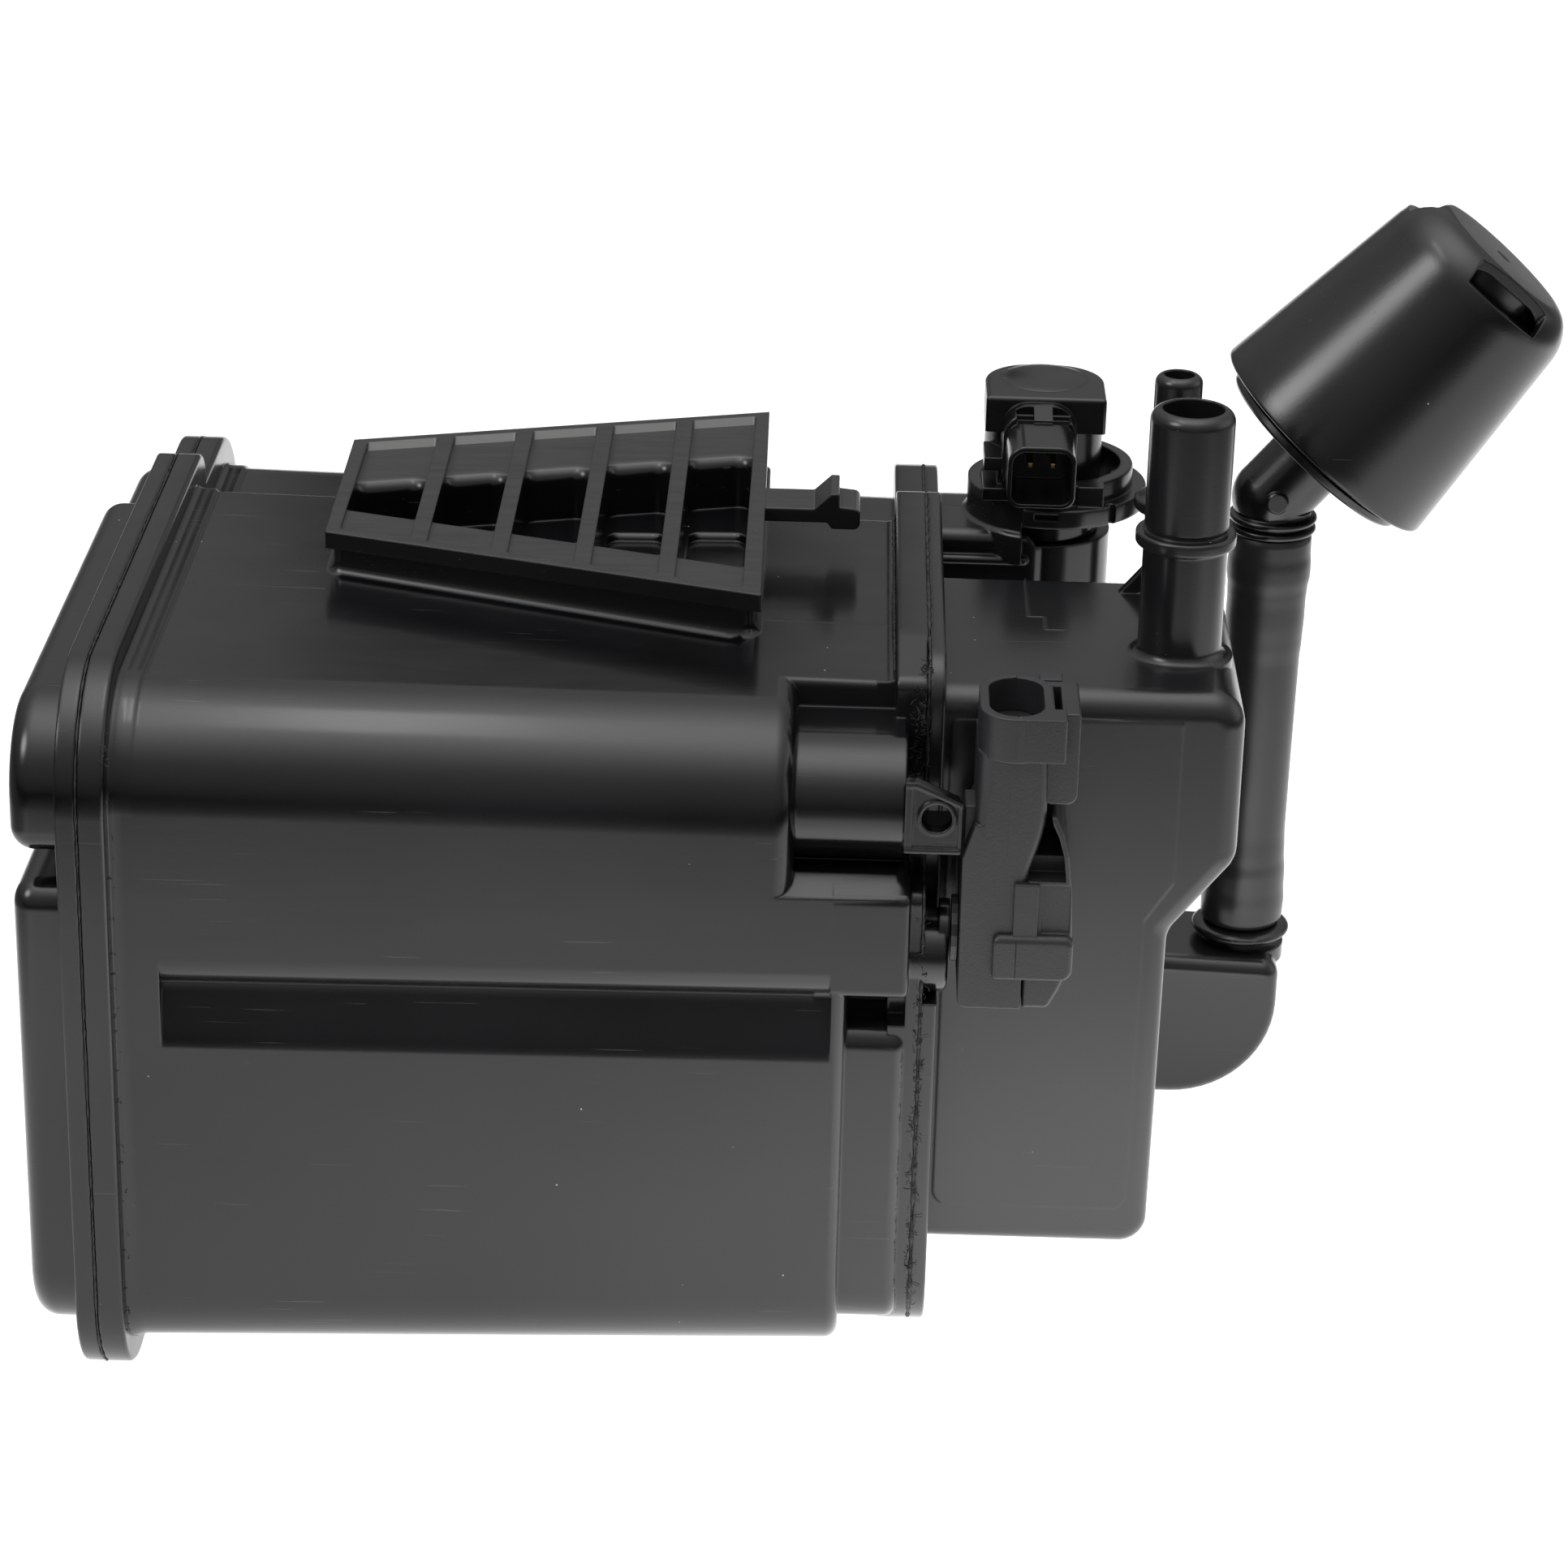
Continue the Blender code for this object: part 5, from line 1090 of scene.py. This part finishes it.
# ---- weld flash: beads and hairs squeezed out of the vibration welds -------------------------------
def flash_material():
    g = Graph("weld_flash")
    n = g.noise(g.space(), 900.0, 3.0)
    g.set("Base Color", g.mix(g.range(n, 0.45, 0.7, 0.0, 1.0), (0.002, 0.002, 0.002), (0.014, 0.0135, 0.012)))
    g.set("Roughness", g.range(n, 0.3, 0.7, 0.40, 0.7))
    g.set("Normal", g.bump(n, 0.4, 0.0001))
    return g.mat


flash = flash_material()


def walk(corners, step, depth, keep=None):
    """Points every step along the outline's edge, depth inside it, in runs."""
    pts = rounded(corners, 14)
    sign = turn_sign(corners)
    runs, run, carry = [], [], 0.0
    for i, a in enumerate(pts):
        b = pts[(i + 1) % len(pts)]
        d = math.hypot(b[0] - a[0], b[1] - a[1])
        if d < 1e-9:
            continue
        ex, ey = (b[0] - a[0]) / d, (b[1] - a[1]) / d
        t = carry
        while t < d:
            u, v = a[0] + ex * t, a[1] + ey * t
            if keep is None or keep(u, v):
                run.append((u - ey * sign * depth, v + ex * sign * depth, ey * sign, -ex * sign))
            elif run:
                runs.append(run)
                run = []
            t += step
        carry = t - d
    if run:
        runs.append(run)
    return runs


def bead(name, corners, x, radius, rough_by, depth, step=0.55, sides=6, seed=0.0, keep=None, flat=1.0):
    """Irregular string of squeezed melt that follows a weld line."""
    bm = bmesh.new()
    for run in walk(corners, step, depth, keep):
        if len(run) < 3:
            continue
        rows = []
        for k, (cy, cz, ny, nz_) in enumerate(run):
            a1 = noise.noise(Vector((k * 0.21, seed, 1.7)))
            a2 = noise.noise(Vector((k * 0.77, seed + 9.0, 4.1)))
            r = max(radius * (1.0 + rough_by * a1 + 0.6 * rough_by * a2), radius * 0.2)
            if k in (0, len(run) - 1):
                r *= 0.3
            cx = x + 0.35 * radius * a2
            out = 0.5 * radius * a1
            rows.append([bm.verts.new((cx + flat * r * math.cos(2 * math.pi * j / sides), cy + ny * (out + r * math.sin(2 * math.pi * j / sides)),
                                       cz + nz_ * (out + r * math.sin(2 * math.pi * j / sides)))) for j in range(sides)])
        for a, b in zip(rows, rows[1:]):
            for j in range(sides):
                bm.faces.new((a[j], a[(j + 1) % sides], b[(j + 1) % sides], b[j]))
        bm.faces.new(rows[0][::-1])
        bm.faces.new(rows[-1])
    obj = link(name, bm)
    obj.data.shade_smooth()
    obj.data.materials.append(flash)
    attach(obj, "canister")
    return obj


def hairs(name, places, seed):
    """Short curled threads of flash: (x, y, z, spread, count, length, thickness) groups."""
    r = random.Random(seed)
    bm = bmesh.new()
    for x, y, z, spread, count, length, thick in places:
        for _ in range(count):
            p = Vector((x + r.uniform(-1, 1) * spread[0], y + r.uniform(-1, 1) * spread[1], z + r.uniform(-1, 1) * spread[2]))
            d = Vector((r.uniform(-1, 1), r.uniform(-1.0, 0.1), r.uniform(-1, 1))).normalized()
            n_pts = r.randint(4, 8)
            rad = thick * r.uniform(0.6, 1.3)
            step = length * r.uniform(0.5, 1.2) / n_pts
            path = [p.copy()]
            for _k in range(n_pts):
                d = (d + Vector((r.uniform(-1, 1), r.uniform(-0.7, 0.7), r.uniform(-1, 1))) * 0.7).normalized()
                p = p + d * step
                path.append(p.copy())
            rows = []
            for k, q in enumerate(path):
                t = (path[min(k + 1, len(path) - 1)] - path[max(k - 1, 0)]).normalized()
                side = t.cross(Vector((0.3, 0.2, 0.9))).normalized()
                up_ = side.cross(t)
                rr = rad * (1.0 if 0 < k < len(path) - 1 else 0.5)
                rows.append([bm.verts.new(q + (side * math.cos(math.pi * j / 2) + up_ * math.sin(math.pi * j / 2)) * rr) for j in range(4)])
            for a, b in zip(rows, rows[1:]):
                for j in range(4):
                    bm.faces.new((a[j], a[(j + 1) % 4], b[(j + 1) % 4], b[j]))
            bm.faces.new(rows[0][::-1])
            bm.faces.new(rows[-1])
    obj = link(name, bm)
    obj.data.shade_smooth()
    obj.data.materials.append(flash)
    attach(obj, "canister")
    return obj


bead("weld_bead_left", LEFT_OUTLINE, 0.0, 0.20, 0.8, 0.12, seed=1.0)
bead("weld_bead_right", FLANGE_COVER, FLANGE_R1 + 0.15, 0.34, 1.0, 0.25, seed=5.0)
bead("root_bead_top", at_station(front_corners, 147.2), 147.25, 0.32, 0.8, -0.75, step=0.4, seed=3.0, keep=lambda y, z: z > 120.0 and 40.0 < y < 124.0)
hairs("weld_hairs_right", [(153.6, 9.4, z, (0.7, 0.2, 5.0), 16, 1.5, 0.08) for z in range(22, 100, 8)]
      + [(152.2, 31.2, z, (1.2, 0.4, 4.5), 30, 2.2, 0.10) for z in (110, 118, 126, 131)]
      + [(153.6, 33.0 + 3 * k, 138.2, (0.6, 1.6, 0.4), 10, 1.6, 0.09) for k in range(2)], 3)
hairs("weld_hairs_left", [(5.4, 2.0, 131.0, (0.6, 1.2, 4.0), 12, 1.6, 0.07)] + [(5.5, 4.2, z, (0.3, 0.2, 4.0), 3, 0.9, 0.06) for z in range(20, 120, 9)]
      + [(5.5, 4.2, 12.0, (0.4, 0.3, 3.0), 8, 1.4, 0.07)], 9)

# ---- floor, light and camera ------------------------------------------------------------------------
floor_bm = bmesh.new()
for x, y in ((-6, -6), (6, -6), (6, 6), (-6, 6)):
    floor_bm.verts.new((x, y, 0.0))
floor_bm.faces.new(floor_bm.verts[:])
floor_mesh = bpy.data.meshes.new("floor")
floor_bm.to_mesh(floor_mesh)
floor_bm.free()
floor = bpy.data.objects.new("floor", floor_mesh)
bpy.context.scene.collection.objects.link(floor)
fg = Graph("pale_floor")
fg.set("Roughness", 0.9)
fg.set("Specular IOR Level", 0.0)
# the floor glows: a painted pool of light round the object and a painted hot spot to its right, which light its lower
# faces and fill in its contact shadow
pool = fg.node("ShaderNodeVectorMath", operation="LENGTH")
fg.join(fg.space((1.0, 1.25, 0.0), shift=(-0.05, 0.0, 0.0)), pool.inputs[0])
spot = fg.node("ShaderNodeVectorMath", operation="LENGTH")
fg.join(fg.space((1.0, 1.0, 0.0), shift=(-0.09, 0.12, 0.0)), spot.inputs[0])
painted_light_pool = fg.ramp(pool.outputs["Value"], (0.0, 0.44), (0.20, 0.40), (0.34, 0.20), (0.60, 0.04), (1.0, 0.03), interpolation="EASE")
painted_hot_spot = fg.ramp(spot.outputs["Value"], (0.0, 0.56), (0.05, 0.46), (0.10, 0.22), (0.17, 0.05), (0.24, 0.0), interpolation="EASE")
glow_add = fg.node("ShaderNodeMix", data_type="RGBA", blend_type="ADD")
glow_add.inputs[0].default_value = 1.0
fg.join(painted_light_pool, glow_add.inputs[6])
fg.join(painted_hot_spot, glow_add.inputs[7])
glow = glow_add.outputs[2]
# painted reflection: only glossy rays see the floor darker a little in front of the object and towards its sides, as if
# a light table ended there
place = fg.node("ShaderNodeSeparateXYZ")
fg.join(fg.coord.outputs["Object"], place.inputs[0])
edge = fg.ramp(fg.range(place.outputs[1], -1.0, 0.0, 0.0, 1.0), (0.0, 0.10), (0.30, 0.13), (0.52, 0.26), (0.62, 0.52), (0.68, 0.86), (0.74, 1.0))
side = fg.ramp(fg.range(place.outputs[0], -0.6, 0.8, 0.0, 1.0), (0.107, 0.15), (0.171, 0.38), (0.236, 1.0), (0.729, 1.0), (0.793, 0.38), (0.871, 0.15))
both = fg.node("ShaderNodeMix", data_type="RGBA", blend_type="MULTIPLY")
both.inputs[0].default_value = 1.0
fg.join(edge, both.inputs[6])
fg.join(side, both.inputs[7])
ray = fg.node("ShaderNodeLightPath")
painted_reflection_fade = fg.mix(ray.outputs["Is Glossy Ray"], (1.0, 1.0, 1.0), both.outputs[2])
tone = fg.node("ShaderNodeMix", data_type="RGBA", blend_type="MULTIPLY")
tone.inputs[0].default_value = 1.0
fg.join(glow, tone.inputs[6])
fg.join(painted_reflection_fade, tone.inputs[7])
fg.set("Emission Color", tone.outputs[2])
fg.set("Emission Strength", 2.5)
# albedo is lowered near the object, so its cast shadow there is fainter and the painted glow takes its place
albedo = fg.node("ShaderNodeMix", data_type="RGBA", blend_type="MULTIPLY")
albedo.inputs[0].default_value = 1.0
fg.join(fg.ramp(pool.outputs["Value"], (0.0, 0.45), (0.20, 0.50), (0.45, 0.90)), albedo.inputs[6])
fg.join(painted_reflection_fade, albedo.inputs[7])
fg.set("Base Color", albedo.outputs[2])
floor_mesh.materials.append(fg.mat)

world = bpy.data.worlds.new("studio")
bpy.context.scene.world = world
world.use_nodes = True
wt = world.node_tree
back = wt.nodes["Background"]
coord = wt.nodes.new("ShaderNodeTexCoord")


def lobe(direction, stops, strength):
    """Light that depends only on the angle from one direction of the sky."""
    d = wt.nodes.new("ShaderNodeVectorMath")
    d.operation = "DOT_PRODUCT"
    wt.links.new(coord.outputs["Generated"], d.inputs[0])
    d.inputs[1].default_value = Vector(direction).normalized()
    a = wt.nodes.new("ShaderNodeMath")
    a.operation = "ARCCOSINE"
    wt.links.new(d.outputs["Value"], a.inputs[0])
    b = wt.nodes.new("ShaderNodeMath")
    b.operation = "DIVIDE"
    wt.links.new(a.outputs[0], b.inputs[0])
    b.inputs[1].default_value = math.pi
    r = wt.nodes.new("ShaderNodeValToRGB")
    e = r.color_ramp.elements
    while len(e) > 1:
        e.remove(e[-1])
    for k, (angle, v) in enumerate(stops):
        t = e[0] if k == 0 else e.new(angle / 180)
        t.position = angle / 180
        t.color = (v / strength, v / strength, v / strength, 1.0)
    wt.links.new(b.outputs[0], r.inputs["Fac"])
    m = wt.nodes.new("ShaderNodeMath")
    m.operation = "MULTIPLY"
    wt.links.new(r.outputs["Color"], m.inputs[0])
    m.inputs[1].default_value = strength
    return m.outputs[0]


def added(a, b, op="ADD"):
    n = wt.nodes.new("ShaderNodeMath")
    n.operation = op
    wt.links.new(a, n.inputs[0])
    wt.links.new(b, n.inputs[1])
    return n.outputs[0]


soft_box = lobe((-0.02, -0.04, 1.0), [(0, 3.0), (8, 2.95), (16, 2.6), (24, 2.0), (34, 1.35), (44, 0.86), (54, 0.56), (64, 0.43), (72, 0.36), (80, 0.24), (88, 0.14), (110, 0.10), (180, 0.08)], 4.0)
right_wall = lobe((0.95, 0.10, 0.20), [(0, 0.9), (16, 0.7), (30, 0.2), (42, 0.0)], 1.0)
left_box = lobe((-0.68, -0.35, 0.645), [(0, 7.0), (6, 6.6), (10, 3.6), (15, 0.7), (21, 0.0)], 7.0)


def between(value, a, b, c, d):
    """1 between b and c, falling to 0 at a and at d."""
    parts = []
    for lo, hi in ((a, b), (d, c)):
        m = wt.nodes.new("ShaderNodeMapRange")
        m.interpolation_type = "SMOOTHSTEP"
        wt.links.new(value, m.inputs["Value"])
        m.inputs["From Min"].default_value, m.inputs["From Max"].default_value = min(lo, hi), max(lo, hi)
        m.inputs["To Min"].default_value, m.inputs["To Max"].default_value = (0.0, 1.0) if lo < hi else (1.0, 0.0)
        parts.append(m.outputs["Result"])
    return added(parts[0], parts[1], "MULTIPLY")


# a dark flag low behind the object, mirrored by the chamber's top in front of the tray
way = wt.nodes.new("ShaderNodeSeparateXYZ")
wt.links.new(coord.outputs["Generated"], way.inputs[0])
ahead = wt.nodes.new("ShaderNodeMath")
ahead.operation = "MAXIMUM"
wt.links.new(way.outputs[1], ahead.inputs[0])
ahead.inputs[1].default_value = 0.05
flag = added(between(added(way.outputs[0], ahead.outputs[0], "DIVIDE"), -0.120, -0.106, -0.008, 0.006), between(way.outputs[2], 0.20, 0.25, 0.385, 0.402), "MULTIPLY")
gap = wt.nodes.new("ShaderNodeMath")
gap.operation = "MULTIPLY_ADD"
wt.links.new(flag, gap.inputs[0])
gap.inputs[1].default_value, gap.inputs[2].default_value = -0.95, 1.0
wt.links.new(added(added(added(soft_box, gap.outputs[0], "MULTIPLY"), right_wall), left_box), back.inputs["Color"])
back.inputs["Strength"].default_value = 1.0

key = bpy.data.lights.new("overhead", "AREA")
key.shape = "RECTANGLE"
key.size = 0.07
key.size_y = 0.30
key.energy = 0.20
key_obj = bpy.data.objects.new("overhead", key)
bpy.context.scene.collection.objects.link(key_obj)
key_obj.location = (-0.118, -0.075, 0.74)

phi, psi, rho = math.radians(23.385), math.radians(0.582), math.radians(1.4496)
right = Vector((math.cos(psi), math.sin(psi), 0))
fwd = Vector((-math.sin(psi), math.cos(psi), 0))
up = Vector((0, 0, 1))
fwd2 = math.cos(phi) * fwd - math.sin(phi) * up
up2 = math.sin(phi) * fwd + math.cos(phi) * up
r2 = math.cos(rho) * right + math.sin(rho) * up2
u2 = -math.sin(rho) * right + math.cos(rho) * up2
eye = Vector((139.94 * 0.965 - ORIGIN[0], -767.79 * 0.965 - ORIGIN[1], 465.49 * 0.965 - ORIGIN[2])) * MM
cam = bpy.data.cameras.new("camera")
camera = bpy.data.objects.new("camera", cam)
bpy.context.scene.collection.objects.link(camera)
cam.sensor_width = 36
cam.lens = 5558.43 / 1932 * 36
cam.clip_start, cam.clip_end = 0.01, 50
camera.matrix_world = Matrix(((r2.x, u2.x, -fwd2.x, eye.x), (r2.y, u2.y, -fwd2.y, eye.y), (r2.z, u2.z, -fwd2.z, eye.z), (0, 0, 0, 1)))
bpy.context.scene.camera = camera
bpy.context.scene.view_settings.view_transform = "Standard"
